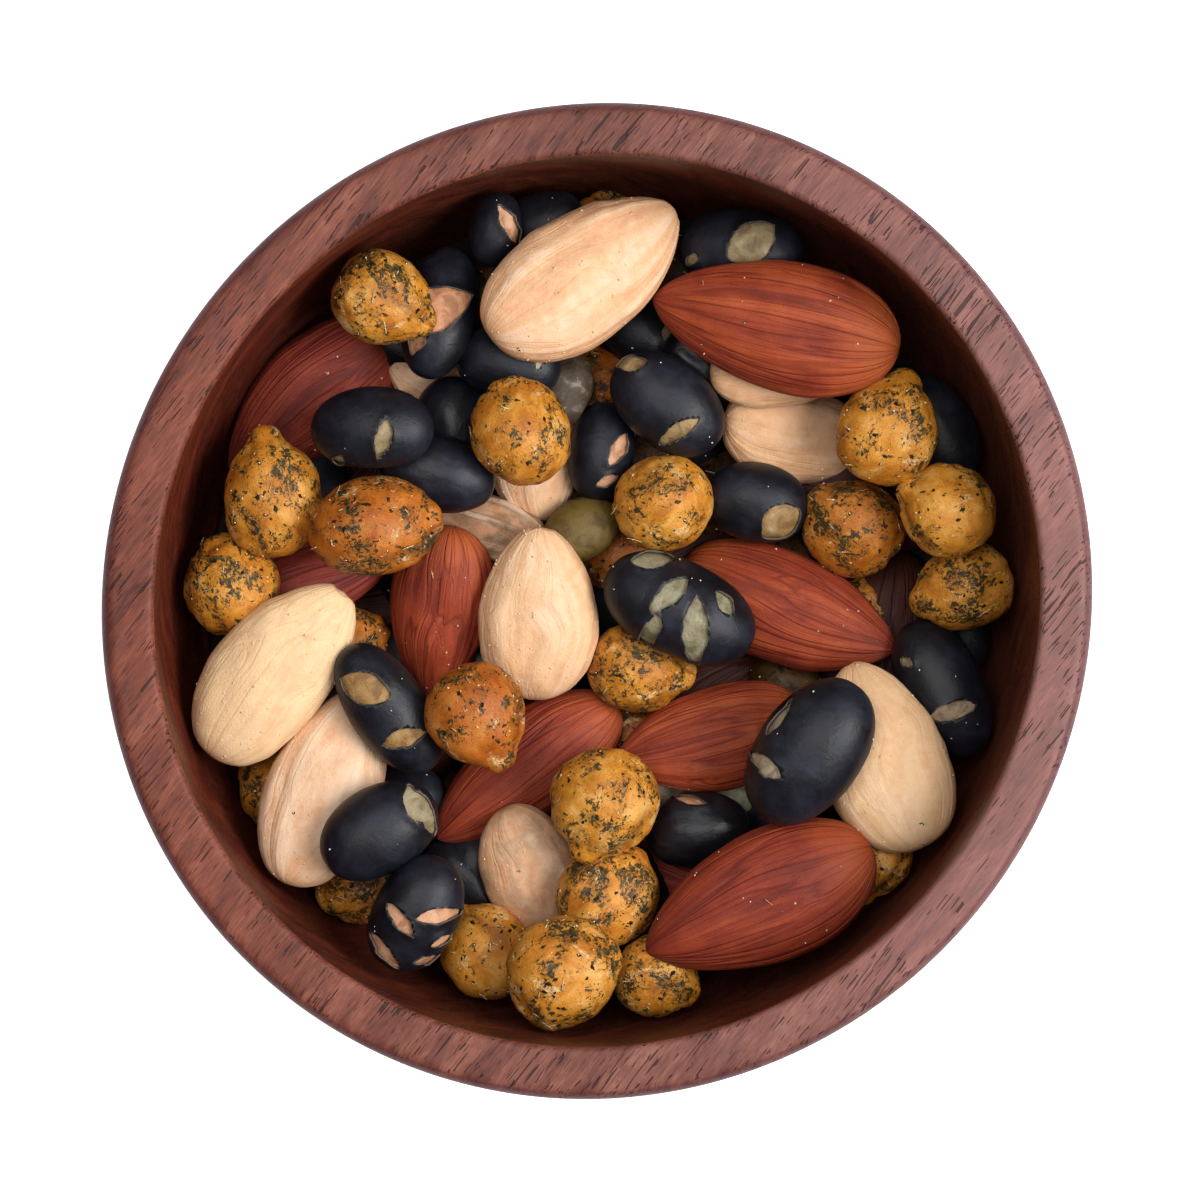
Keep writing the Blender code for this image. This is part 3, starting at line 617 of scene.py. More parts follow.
def add_hidden(piles, bed, nest):
    """Nuts in the gaps under those that show, laid at random and never above them, and painted near-black as shade.
    """
    chance = np.random.default_rng(SEED)
    for number in range(HIDDEN_COUNT):
        kind = HIDDEN_ORDER[number % len(HIDDEN_ORDER)]
        long, wide = HIDDEN_SIZES[kind]
        reach = (HIDDEN_REACH - long / 2) * math.sqrt((number + 0.5) / HIDDEN_COUNT)
        x, y = reach * math.cos(number * SPIRAL_TURN), reach * math.sin(number * SPIRAL_TURN)
        nut = Nut(kind, x, y, chance.uniform(0, 360), long, wide, chance.uniform(0.3, 0.9))
        cell = int((x * MM + OUTER_RADIUS) / CELL), int((y * MM + OUTER_RADIUS) / CELL)
        highest = min(nest[cell] + HIDDEN_HIGHEST, bed[2][cell] - HIDDEN_COVER)
        height = float(max(nest[cell] + HIDDEN_LOWEST, highest))
        lean = chance.uniform(-HIDDEN_LEAN, HIDDEN_LEAN), chance.uniform(-HIDDEN_LEAN, HIDDEN_LEAN)
        place = ((x * MM, y * MM, height), *lean)
        # Full painted shade: hidden nuts come out nearly black.
        add_nut(piles, nut, number + len(NUTS), place, HIDDEN_FINENESS, 1.0)


# Turned pieces.

def turned(profile, sides):
    """Half of a section, from its first point on the axis to its last, turned about Z and made oval."""
    profile = np.asarray(profile)
    turns = np.linspace(0.0, math.tau, sides, endpoint=False)
    radius, height = profile[1:-1, 0, None], profile[1:-1, 1, None]
    rings = np.stack([radius * np.cos(turns), radius * np.sin(turns), np.repeat(height, sides, axis=1)], axis=-1)
    ends = np.array([[0.0, 0.0, profile[0, 1]], [0.0, 0.0, profile[-1, 1]]])
    points = np.concatenate([ends[:1], rings.reshape(-1, 3), ends[1:]])
    points[:, :2] = oval(points)
    return points, ring_faces(len(profile) - 2, sides)


def quarter(centre, across, down, roundness, angles):
    """Points of a quarter superellipse that hangs under its centre, by angles from level to straight down."""
    wide, deep = np.cos(angles) ** (2 / roundness), np.sin(angles) ** (2 / roundness)
    return np.stack([centre[0] + across * wide, centre[1] - down * deep], axis=-1)


def arc(centre, radius, start, end, steps):
    """Points of an arc, by its first and last angles in degrees."""
    angles = np.radians(np.linspace(start, end, steps))
    return np.stack([centre[0] + radius * np.cos(angles), centre[1] + radius * np.sin(angles)], axis=-1)


def bowl_profile():
    """Half of the bowl's section: up the inside from the axis, over the rim, down the outside to the foot."""
    angles = np.linspace(0.0, math.pi / 2, INSIDE_STEPS)
    inside = quarter((0.0, HOLLOW_TOP), INNER_RADIUS, INNER_DEPTH, INNER_ROUNDNESS, angles)[::-1]
    inner_centre = (INNER_RADIUS + INNER_EDGE_RADIUS, BOWL_HEIGHT - INNER_EDGE_RADIUS)
    outer_centre = (OUTER_RADIUS - OUTER_EDGE_RADIUS, BOWL_HEIGHT - OUTER_EDGE_RADIUS)
    inner_edge = arc(inner_centre, INNER_EDGE_RADIUS, 180, 90, 7)
    outer_edge = arc(outer_centre, OUTER_EDGE_RADIUS, 90, 0, 9)
    share = np.linspace(0.0, 1.0, 7)[1:-1, None]
    rim = inner_edge[-1] * (1 - share) + outer_edge[0] * share
    side_height = BOWL_HEIGHT - 4 * OUTER_EDGE_RADIUS
    belly = OUTER_RADIUS - FOOT_RADIUS
    outside = quarter((FOOT_RADIUS, side_height), belly, side_height, OUTER_ROUNDNESS, angles[:-1])
    foot = [(FOOT_RADIUS + FOOT_EDGE_RADIUS, FOOT_EDGE_RADIUS / 4), (FOOT_RADIUS, 0.0), (0.0, 0.0)]
    return np.concatenate([inside, inner_edge, rim, outer_edge, outside, foot])


def bowl_parts(profile):
    """Which points are on the bowl's inner wall, and which on the thin outer edge of its rim, where the wood's
    finish paints shade.
    """
    radius, height = profile[1:-1].T
    inner = np.arange(len(radius)) < INSIDE_STEPS - 1
    edge = (radius > OUTER_RADIUS - EDGE_WIDTH) & (height > BOWL_HEIGHT - EDGE_DEPTH)
    return {
        name: np.concatenate([[float(part[0])], np.repeat(part.astype(float), BOWL_SIDES), [0.0]])
        for name, part in (("inner", inner), ("edge", edge))
    }


def bottom_profile():
    """Half of the section of the heap's core, coloured near-black as painted shade, which fills the bowl to just
    under the lowest nuts.
    """
    radius = np.linspace(0.0, INNER_RADIUS, 200)
    wall = hollow_height(radius) + BOTTOM_GAP
    top = core_height(radius) - NEST_DEPTH - BOTTOM_DROP
    inside = wall < top
    edge = radius[inside].max()
    over = np.linspace(0.0, edge, 12)
    under = edge * np.sin(np.linspace(math.pi / 2, 0.0, 12))
    upper = np.stack([over, core_height(over) - NEST_DEPTH - BOTTOM_DROP], axis=-1)
    lower = np.stack([under, hollow_height(under) + BOTTOM_GAP], axis=-1)
    return np.concatenate([upper, lower[1:]])


def one_piece(name, points, faces, material, **facts):
    """One mesh as an object of its own."""
    pile = Pile()
    pile.add(points, faces, **facts)
    return pile.made(name, material)


# Finishes.

PLACE_FACTS = ("spot", "strands")


def srgb(colour):
    """A colour of three channels from 0 to 255, as the shaders take it."""
    shares = [channel / 255 for channel in colour]
    return (*(s / 12.92 if s < 0.04045 else ((s + 0.055) / 1.055) ** 2.4 for s in shares), 1.0)


def add(tree, kind, inputs=None, **settings):
    """Adds a node. Each input is a value, or an output of another node that is wired to it."""
    node = tree.nodes.new(kind)
    for name, value in settings.items():
        setattr(node, name, value)
    for name, value in (inputs or {}).items():
        if isinstance(value, bpy.types.NodeSocket):
            tree.links.new(value, node.inputs[name])
        else:
            node.inputs[name].default_value = value
    return node


def maths(tree, operation, *values):
    """One sum, in the shader's own word for it."""
    return add(tree, "ShaderNodeMath", dict(enumerate(values)), operation=operation).outputs[0]


def times(tree, value, share):
    return maths(tree, "MULTIPLY", value, share)


def blend(tree, *parts, start=0.0):
    """A start and the sum of some values, each with its own weight."""
    for value, weight in parts:
        start = maths(tree, "MULTIPLY_ADD", value, weight, start)
    return start


def scaled(tree, place, scale):
    return add(tree, "ShaderNodeVectorMath", {0: place, "Scale": scale}, operation="SCALE").outputs[0]


def spread(tree, value, low, high, start=0.0, end=1.0):
    """A value eased from start, at low or under it, to end, at high or over it."""
    inputs = {"Value": value, "From Min": low, "From Max": high, "To Min": start, "To Max": end}
    return add(tree, "ShaderNodeMapRange", inputs, interpolation_type="SMOOTHSTEP").outputs["Result"]


def coats(tree, colour, *layers):
    """A colour under thin coats, the lowest first. Each has its share, its own colour and maybe a way of mixing."""
    for share, coat, *mode in layers:
        coat = coat if isinstance(coat, bpy.types.NodeSocket) else srgb(coat)
        settings = {"data_type": "RGBA", "blend_type": mode[0] if mode else "MIX"}
        colour = add(tree, "ShaderNodeMix", {0: share, 6: colour, 7: coat}, **settings).outputs[2]
    return colour


def ramp(tree, value, stops):
    """A colour from a run of stops, each a place from 0 to 1 with its colour."""
    node = add(tree, "ShaderNodeValToRGB", {0: value})
    (low, lowest), *between, (high, highest) = stops.items()
    marks = node.color_ramp.elements
    marks[0].position, marks[0].color = low, srgb(lowest)
    marks[1].position, marks[1].color = high, srgb(highest)
    for place, colour in between:
        marks.new(place).color = srgb(colour)
    return node.outputs["Color"]


def clouds(tree, place, scale, detail=2.0, rough=0.5, stretch=None, warp=0.0):
    """Noise from 0 to 1 with a number of lumps for each unit, drawn out by a stretch and stirred by a warp."""
    if stretch:
        place = add(tree, "ShaderNodeVectorMath", {0: place, 1: stretch}, operation="MULTIPLY").outputs[0]
    inputs = {"Vector": place, "Scale": scale, "Detail": detail, "Roughness": rough, "Distortion": warp}
    return add(tree, "ShaderNodeTexNoise", inputs).outputs[0]


def read(tree, *names):
    """What the mesh holds under each name, at each point."""
    nodes = [add(tree, "ShaderNodeAttribute", attribute_name=name) for name in names]
    return [node.outputs["Vector" if node.attribute_name in PLACE_FACTS else "Fac"] for node in nodes]


def bump(tree, height, depth):
    return add(tree, "ShaderNodeBump", {"Height": height, "Distance": depth, "Strength": 1.0}).outputs[0]


def wire(tree, sockets, **outputs):
    """Joins outputs to sockets by name."""
    for name, output in outputs.items():
        tree.links.new(output, sockets[name.replace("_", " ")])


def new_effect(name, inputs, outputs):
    """A node group with its named inputs, each with its value or None for a place, and its named outputs."""
    tree = bpy.data.node_groups.new(name, "ShaderNodeTree")
    for label, value in inputs.items():
        kind = "NodeSocketVector" if value is None else "NodeSocketFloat"
        socket = tree.interface.new_socket(label, in_out="INPUT", socket_type=kind)
        if value is not None:
            socket.default_value = value
    for label in outputs:
        tree.interface.new_socket(label, in_out="OUTPUT", socket_type="NodeSocketFloat")
    return tree, tree.nodes.new("NodeGroupInput").outputs, tree.nodes.new("NodeGroupOutput").inputs


def effect(tree, group, **inputs):
    """A shared effect, placed with its own values."""
    given = {label.replace("_", " "): value for label, value in inputs.items()}
    return add(tree, "ShaderNodeGroup", given, node_tree=group).outputs


def lengthwise_fibres():
    """Thin dark grooves, and finer fibres between them, that run from end to end of an almond."""
    inputs = {"Strands": None, "Fineness": 1.0, "Groove Width": 0.06}
    tree, given, put = new_effect("lengthwise fibres", inputs, ["Grooves", "Bands", "Height"])
    place = scaled(tree, given["Strands"], given["Fineness"])
    wide = clouds(tree, place, 1.5, 1.0, 0.5, (1.0, 1.0, 0.40), 0.3)
    thin = clouds(tree, place, 3.1, 1.0, 0.5, (1.0, 1.0, 0.30), 0.3)
    fine = clouds(tree, place, 8.0, 2.0, 0.65, (1.0, 1.0, 0.22), 0.2)

    def groove(value, width, depth):
        away = maths(tree, "ABSOLUTE", maths(tree, "SUBTRACT", value, 0.5))
        return spread(tree, maths(tree, "DIVIDE", away, width), 1.0, 0.0, 0.0, depth)

    thin_width = times(tree, given["Groove Width"], 0.8)
    grooves = maths(tree, "MAXIMUM", groove(wide, given["Groove Width"], 1.0), groove(thin, thin_width, 0.4))
    wire(tree, put, Grooves=grooves, Bands=clouds(tree, place, 0.8, 2.0, 0.5, (1.0, 1.0, 0.55), 0.4),
         Height=blend(tree, (fine, 0.7), (grooves, -0.6)))
    return tree


def dry_grain():
    """The dry, floury surface of a roasted nut: fine grain, pale dust, and patches a few millimetres wide."""
    tree, given, put = new_effect("dry grain", {"Spot": None, "Patch Size": 2.5}, ["Grain", "Patches", "Dust"])
    spot = given["Spot"]
    specks = spread(tree, clouds(tree, spot, 7.5, 2.0, 0.7), 0.66, 0.74)
    chosen = spread(tree, clouds(tree, spot, 0.8), 0.46, 0.66)
    per_patch = maths(tree, "DIVIDE", 1.0, given["Patch Size"])
    wire(tree, put, Grain=clouds(tree, spot, 6.0, 2.0, 0.6), Dust=times(tree, specks, chosen),
         Patches=clouds(tree, spot, per_patch, 4.0, 0.6, warp=0.4))
    return tree


def herb_specks():
    """Crumbs of dried herb that stick in clusters, with ragged edges, and the green powder round them."""
    tree, given, put = new_effect("herb specks", {"Spot": None, "Cover": 0.5}, ["Flakes", "Powder", "Shade"])
    spot = given["Spot"]
    cluster = spread(tree, clouds(tree, spot, 0.30, 3.0, 0.6, warp=0.6), 0.34, 0.66)
    edge = blend(tree, (cluster, -0.17), (given["Cover"], -0.08), start=0.712)

    def past_edge(value, low, high):
        return spread(tree, maths(tree, "SUBTRACT", value, edge), low, high)

    big = past_edge(clouds(tree, spot, 1.1, 5.0, 0.72, (0.8, 1.2, 1.0), 0.9), -0.002, 0.012)
    small = past_edge(clouds(tree, spot, 2.8, 3.0, 0.7, warp=0.6), 0.026, 0.038)
    wire(tree, put, Flakes=maths(tree, "MAXIMUM", big, small), Shade=clouds(tree, spot, 2.4, 2.0, 0.6),
         Powder=past_edge(clouds(tree, spot, 2.0, 4.0, 0.7), -0.12, 0.02))
    return tree


def new_finish(name, **fixed):
    """A material, its tree and its shader's inputs, with the shader's fixed values set."""
    material = bpy.data.materials.new(name)
    material.use_nodes = True
    shader = material.node_tree.nodes["Principled BSDF"]
    for socket, value in fixed.items():
        shader.inputs[socket.replace("_", " ")].default_value = value
    return material, material.node_tree, shader.inputs


def object_place(tree):
    return add(tree, "ShaderNodeTexCoord").outputs["Object"]


def millimetres(tree):
    """The place on the object, in millimetres."""
    return scaled(tree, object_place(tree), 1 / MM)


def buried(tree, colour):
    """A colour as it is on a nut that shows, and nearly black, as painted shade, on one that lies under the others.
    """
    under, = read(tree, "buried")
    return coats(tree, colour, (times(tree, under, 0.85), (14, 8, 6)))


def almond_skin_finish(fibres, grain):
    """Red-brown skin with soft dark lengthwise grooves, orange near the blunt end and maroon on older nuts."""
    finish, tree, sockets = new_finish("almond skin", Specular_IOR_Level=0.35)
    strands, tone, share, relief = read(tree, "strands", "tone", "share", "relief")
    run = effect(tree, fibres, Strands=strands, Fineness=0.72, Groove_Width=0.06)
    dry = effect(tree, grain, Spot=millimetres(tree), Patch_Size=3.0)
    level = blend(tree, (run["Bands"], 0.3), (run["Height"], 0.1), (relief, 0.26), (dry["Grain"], 0.24),
                  (dry["Patches"], 0.4), start=-0.1)
    skin = coats(
        tree,
        ramp(tree, level, {
            0.16: (110, 36, 20), 0.34: (142, 53, 28), 0.5: (163, 68, 35), 0.68: (182, 88, 46),
            0.9: (206, 122, 78)}),
        (times(tree, run["Grooves"], 0.34), (88, 26, 14)),
        (spread(tree, share, -0.45, -0.95, 0.0, 0.5), (190, 96, 40)),
        (spread(tree, share, 0.6, 1.0, 0.0, 0.35), (118, 40, 26)),
        (spread(tree, tone, 0.35, 0.9), (208, 176, 214), "MULTIPLY"),
        (times(tree, dry["Dust"], 0.55), (206, 146, 104)))
    height = blend(tree, (run["Height"], 0.4), (run["Grooves"], -0.4), (dry["Grain"], 0.4))
    wire(tree, sockets, Base_Color=buried(tree, skin), Roughness=spread(tree, level, 0.2, 0.8, 0.62, 0.54),
         Normal=bump(tree, height, 0.12 * MM))
    return finish


def blanched_finish(fibres, grain):
    """Cream flesh with soft pinkish ridges and faint mottling, with painted shade, greyer and browner, on nuts deep
    in the heap.
    """
    finish, tree, sockets = new_finish("blanched almond", Specular_IOR_Level=0.35)
    strands, tone, share, relief = read(tree, "strands", "tone", "share", "relief")
    run = effect(tree, fibres, Strands=strands, Fineness=0.6, Groove_Width=0.09)
    dry = effect(tree, grain, Spot=millimetres(tree), Patch_Size=2.6)
    broken = spread(tree, dry["Patches"], 0.4, 0.6, 0.3, 1.0)
    ridged = times(tree, spread(tree, tone, 0.08, 0.4, 0.15, 1.0), broken)
    warm = times(tree, spread(tree, run["Bands"], 0.46, 0.66), spread(tree, dry["Patches"], 0.38, 0.62))
    mottle = spread(tree, clouds(tree, millimetres(tree), 1.0, 4.0, 0.6, warp=0.5), 0.36, 0.66)
    flesh = coats(
        tree,
        # Toward tone 1 the flesh turns dark grey-brown: painted shade for blanched almonds deep in the heap.
        ramp(tree, tone, {0.0: (240, 204, 154), 0.4: (228, 178, 132), 0.75: (224, 186, 150), 1.0: (136, 102, 70)}),
        (times(tree, spread(tree, relief, 0.12, -0.25, 0.0, 0.65), ridged), (216, 154, 112)),
        (times(tree, spread(tree, relief, 0.05, 0.4, 0.0, 0.5), ridged), (250, 216, 190)),
        (times(tree, warm, 0.4), (216, 154, 100)),
        (times(tree, run["Grooves"], 0.16), (192, 132, 94)),
        (times(tree, mottle, 0.16), (254, 230, 198)),
        (spread(tree, maths(tree, "ABSOLUTE", share), 0.84, 1.0, 0.0, 0.35), (204, 148, 94)),
        (times(tree, dry["Dust"], 0.4), (250, 232, 206)))
    height = blend(tree, (run["Height"], 0.35), (dry["Grain"], 0.45))
    wire(tree, sockets, Base_Color=buried(tree, flesh), Roughness=spread(tree, dry["Patches"], 0.3, 0.7, 0.46, 0.6),
         Normal=bump(tree, height, 0.16 * MM))
    return finish


def bean_skin_finish(grain):
    """Blue-black skin, satin where it is tight, browner and duller where it is dry or torn."""
    finish, tree, sockets = new_finish("black bean skin", Specular_IOR_Level=0.33)
    spot, tone, lip = read(tree, "spot", "tone", "lip")
    dry = effect(tree, grain, Spot=spot, Patch_Size=3.2)
    scuff = clouds(tree, spot, 1.3, 4.0, 0.7, (0.35, 1.0, 1.0), 1.0)
    skin = coats(
        tree,
        ramp(tree, dry["Patches"], {0.3: (12, 12, 16), 0.5: (20, 21, 29), 0.68: (30, 33, 44), 0.85: (50, 51, 62)}),
        (spread(tree, tone, 0.55, 1.0, 0.0, 0.5), (20, 16, 17)),
        (times(tree, dry["Dust"], 0.3), (96, 95, 96)),
        (spread(tree, scuff, 0.63, 0.72, 0.0, 0.22), (76, 75, 80)),
        (spread(tree, lip, 0.86, 1.0, 0.0, 0.75), (112, 98, 84)))
    crease = clouds(tree, spot, 0.7, 3.0, 0.55, warp=1.6)
    fine = clouds(tree, spot, 9.0, 2.0, 0.6)
    matt, polish = spread(tree, dry["Patches"], 0.3, 0.75, 0.40, 0.52), spread(tree, tone, 0.5, 0.9, 0.0, -0.12)
    wire(tree, sockets, Base_Color=skin, Roughness=maths(tree, "ADD", matt, polish),
         Normal=bump(tree, blend(tree, (crease, 0.35), (fine, 0.12)), 0.12 * MM))
    return finish


def bean_inside_finish(grain):
    """The kernel under a bean's skin, from olive through grey-green, tan and grey cream to peach, and a dark
    grey-brown that is painted shade for a kernel deep in the heap.
    """
    finish, tree, sockets = new_finish("bean kernel", Specular_IOR_Level=0.35)
    spot, tone = read(tree, "spot", "tone")
    dry = effect(tree, grain, Spot=spot, Patch_Size=1.8)
    pale = times(tree, spread(tree, dry["Patches"], 0.54, 0.75, 0.0, 0.4), spread(tree, tone, 0.0, 0.2))
    flesh = coats(
        tree,
        ramp(tree, tone, {
            0.0: (104, 84, 36), 0.2: (142, 138, 112), 0.42: (160, 122, 70), 0.6: (172, 154, 130),
            # The dark grey-brown at 1 is painted shade for a kernel lying in shadow.
            0.8: (206, 148, 108), 0.88: (210, 160, 126), 1.0: (70, 56, 42)}),
        (spread(tree, dry["Patches"], 0.36, 0.56, 0.6, 0.0), (150, 126, 98), "MULTIPLY"),
        (pale, (214, 198, 168)),
        (times(tree, dry["Dust"], 0.6), (84, 64, 46)))
    height = blend(tree, (dry["Patches"], 1.0), (dry["Grain"], 0.3))
    wire(tree, sockets, Base_Color=flesh, Roughness=spread(tree, dry["Grain"], 0.2, 0.8, 0.45, 0.65),
         Normal=bump(tree, height, 0.22 * MM))
    return finish


def chickpea_finish(grain, specks):
    """Golden to orange-brown skin with pale patches, partly worn, crumbling skin and partly painted highlight,
    painted shade along the furrow, a little oil, and dark herb in clusters.
    """
    finish, tree, sockets = new_finish(
        "roasted chickpea", Coat_Weight=0.08, Coat_Roughness=0.4, Specular_IOR_Level=0.35)
    spot, tone, furrow, herbs = read(tree, "spot", "tone", "furrow", "herbs")
    dry = effect(tree, grain, Spot=spot, Patch_Size=3.0)
    herb = effect(tree, specks, Spot=spot, Cover=blend(tree, (herbs, 2.4), start=-0.7))
    leaf = ramp(tree, herb["Shade"], {0.35: (20, 20, 10), 0.5: (40, 39, 20), 0.68: (84, 82, 42)})
    # Pale patches: partly dry, crumbling skin and partly painted highlight.
    rubbed_and_lit_patches = spread(tree, clouds(tree, spot, 0.34, 5.0, 0.65, warp=0.7), 0.58, 0.66)
    crumbly_and_highlight = times(tree, rubbed_and_lit_patches, spread(tree, clouds(tree, spot, 3.2, 3.0, 0.7), 0.38, 0.56, 0.35, 0.9))
    skin = coats(
        tree,
        ramp(tree, dry["Patches"], {
            0.28: (160, 88, 18), 0.43: (194, 122, 30), 0.55: (212, 143, 47), 0.72: (228, 174, 96)}),
        (spread(tree, tone, 0.35, 0.95), (222, 180, 150), "MULTIPLY"),
        # Painted shade: darker brown along the furrow between the cheeks.
        (times(tree, furrow, 0.6), (118, 66, 26)),
        (crumbly_and_highlight, (232, 192, 134)),
        (times(tree, herb["Powder"], 0.45), (104, 78, 28)),
        (times(tree, herb["Flakes"], 0.94), leaf),
        (times(tree, dry["Dust"], 0.55), (240, 216, 172)))
    height = blend(tree, (dry["Grain"], 0.45), (herb["Flakes"], 0.4), (crumbly_and_highlight, 0.4))
    wire(tree, sockets, Base_Color=buried(tree, skin), Roughness=blend(tree, (crumbly_and_highlight, 0.15), start=0.5),
         Normal=bump(tree, height, 0.2 * MM))
    return finish


def wood_finish():
    """Red-brown hardwood, its grain and short open pores along one heading, worn to a dull sheen on top.
    Light is painted into it. A painted sheen makes the right side lighter and pinker and the left side warmer and
    darker.
    The inner wall has painted shade that deepens lower down, and the rim's rounded outer edge has a dark line of
    painted shade and sheen.
    """
    finish, tree, sockets = new_finish("oiled dark wood", Specular_IOR_Level=0.3)
    inner, edge = read(tree, "inner", "edge")
    spot = object_place(tree)
    across = add(tree, "ShaderNodeSeparateXYZ", {0: spot}).outputs
    lengthwise = add(tree, "ShaderNodeMapping", {"Vector": spot, "Rotation": (0.0, 0.0, -GRAIN_HEADING)}).outputs[0]
    leaning = add(tree, "ShaderNodeMapping", {"Vector": lengthwise, "Rotation": (LAYER_LEAN, 0.0, 0.0)}).outputs[0]
    place = scaled(tree, leaning, 1 / MM)
    bands = clouds(tree, place, 0.36, 4.0, 0.6, (0.12, 1.0, 0.16), 0.6)
    streaks = clouds(tree, place, 3.6, 3.0, 0.7, (0.10, 1.0, 0.10), 0.3)
    mottle = clouds(tree, place, 0.6, 4.0, 0.7, (0.4, 1.0, 0.4), 0.5)
    fine = clouds(tree, place, 8.0, 2.0, 0.7, (0.06, 1.0, 0.3), 0.15)
    level = blend(tree, (bands, 0.35), (streaks, 0.2), (mottle, 0.25), (fine, 0.2))
    crowded = spread(tree, clouds(tree, place, 0.16, 3.0, 0.6), 0.38, 0.62, 0.0, 0.10)

    def pore(scale, drawn_out, threshold):
        value = clouds(tree, place, scale, 1.0, 0.4, (drawn_out, 1.0, 0.8), 0.05)
        return spread(tree, blend(tree, (crowded, 1.0), (value, -1.0), start=threshold), -0.005, 0.03)

    pores = maths(tree, "MAXIMUM", pore(5.0, 0.075, 0.275), pore(2.8, 0.06, 0.24))
    wood = coats(
        tree,
        ramp(tree, level, {0.38: (64, 30, 25), 0.45: (98, 54, 44), 0.52: (120, 71, 59), 0.62: (148, 98, 84)}),
        # Painted sheen: the right side lighter and pinker, the left side warmer and darker, as if lit from the
        # right.
        (spread(tree, across["X"], 0.0, 50 * MM, 0.0, 0.25), (160, 122, 122)),
        (spread(tree, across["X"], 10 * MM, -50 * MM), (255, 222, 200), "MULTIPLY"),
        # Painted shade: the inner wall darker and warmer, and darker still lower down in the bowl.
        (times(tree, inner, 0.9), (198, 138, 74), "MULTIPLY"),
        (times(tree, spread(tree, across["Z"], 37 * MM, 22 * MM, 0.0, 0.5), inner), (22, 9, 5)),
        (times(tree, pores, 0.82), (32, 14, 14)),
        # Painted shade and sheen: a dark purple line on the rim's rounded outer edge.
        (times(tree, edge, 0.5), (70, 26, 40)))
    wire(tree, sockets, Base_Color=wood, Roughness=spread(tree, mottle, 0.3, 0.7, 0.46, 0.62),
         Normal=bump(tree, blend(tree, (fine, 0.3), (pores, -1.0)), 0.12 * MM))
    return finish


def painted_shade_finish():
    """Near-black painted shade on the heap's core at the bottom of the bowl, where the gaps between the nuts are in
    shadow.
    """
    finish, tree, sockets = new_finish("painted shade bottom", Roughness=0.9)
    # Noise that mottles the painted shade and gives it bumps.
    crumbs = clouds(tree, millimetres(tree), 0.6, 4.0, 0.6)
    colour = ramp(tree, crumbs, {0.3: (14, 9, 7), 0.6: (34, 20, 14), 0.8: (60, 38, 24)})
    wire(tree, sockets, Base_Color=colour, Normal=bump(tree, crumbs, 0.8 * MM))
    return finish


def crumb_finish(name, stops, rough):
    """Small bits, whose colour changes from one to the next."""
    finish, tree, sockets = new_finish(name, Roughness=rough, Specular_IOR_Level=0.2)
    spot = millimetres(tree)
    colour = ramp(tree, clouds(tree, spot, 0.9, 2.0, 0.6), stops)
    wire(tree, sockets, Base_Color=colour, Normal=bump(tree, clouds(tree, spot, 6.0), 0.05 * MM))
    return finish


# Bits scattered over the nuts.

def scatter_tree():
    """Geometry Nodes that lay bits on the upper sides of a mesh, thicker in some patches than in others."""
    tree = bpy.data.node_groups.new("scattered bits", "GeometryNodeTree")
    for label, kind, value in [
        ("Nuts", "Geometry", None), ("Bit", "Object", None), ("Finish", "Material", None),
        ("Per Square Metre", "Float", 1e5), ("Smallest", "Float", 0.5), ("Largest", "Float", 1.5),
        ("Tilt", "Float", 0.5), ("Sink", "Float", 0.0), ("Seed", "Int", 0),
    ]:
        socket = tree.interface.new_socket(label, in_out="INPUT", socket_type="NodeSocket" + kind)
        if value is not None:
            socket.default_value = value
    tree.interface.new_socket("Bits", in_out="OUTPUT", socket_type="NodeSocketGeometry")
    given = tree.nodes.new("NodeGroupInput").outputs
    seed, tilt = given["Seed"], given["Tilt"]

    def made(kind, inputs=None, output=0, **settings):
        return add(tree, kind, inputs, **settings).outputs[output]

    upward = made("ShaderNodeSeparateXYZ", {0: made("GeometryNodeInputNormal")}, "Z")
    patches = clouds(tree, made("GeometryNodeInputPosition"), 260.0)
    share = times(tree, spread(tree, upward, 0.05, 0.5), spread(tree, patches, 0.35, 0.62, 0.12, 1.0))
    density = times(tree, share, given["Per Square Metre"])
    points = add(tree, "GeometryNodeDistributePointsOnFaces",
                 {"Mesh": given["Nuts"], "Density": density, "Seed": seed}).outputs
    sunk = scaled(tree, points["Normal"], given["Sink"])
    moved = made("GeometryNodeSetPosition", {"Geometry": points["Points"], "Offset": sunk})
    back = times(tree, tilt, -1.0)
    least = made("ShaderNodeCombineXYZ", {0: back, 1: back, 2: 0.0})
    most = made("ShaderNodeCombineXYZ", {0: tilt, 1: tilt, 2: math.tau})
    lean = made("FunctionNodeRandomValue", {0: least, 1: most, "Seed": seed}, data_type="FLOAT_VECTOR")
    leaned = made("FunctionNodeEulerToRotation", {0: lean})
    turn = made("FunctionNodeRotateRotation", {0: points["Rotation"], 1: leaned}, rotation_space="LOCAL")
    sizes = {2: given["Smallest"], 3: given["Largest"], "Seed": seed}
    size = made("FunctionNodeRandomValue", sizes, 1, data_type="FLOAT")
    bit = made("GeometryNodeObjectInfo", {"Object": given["Bit"]}, "Geometry")
    bits = made("GeometryNodeInstanceOnPoints", {"Points": moved, "Instance": bit, "Rotation": turn, "Scale": size})
    real = made("GeometryNodeRealizeInstances", {0: bits})
    finished = made("GeometryNodeSetMaterial", {"Geometry": real, "Material": given["Finish"]})
    tree.links.new(finished, tree.nodes.new("NodeGroupOutput").inputs[0])
    return tree


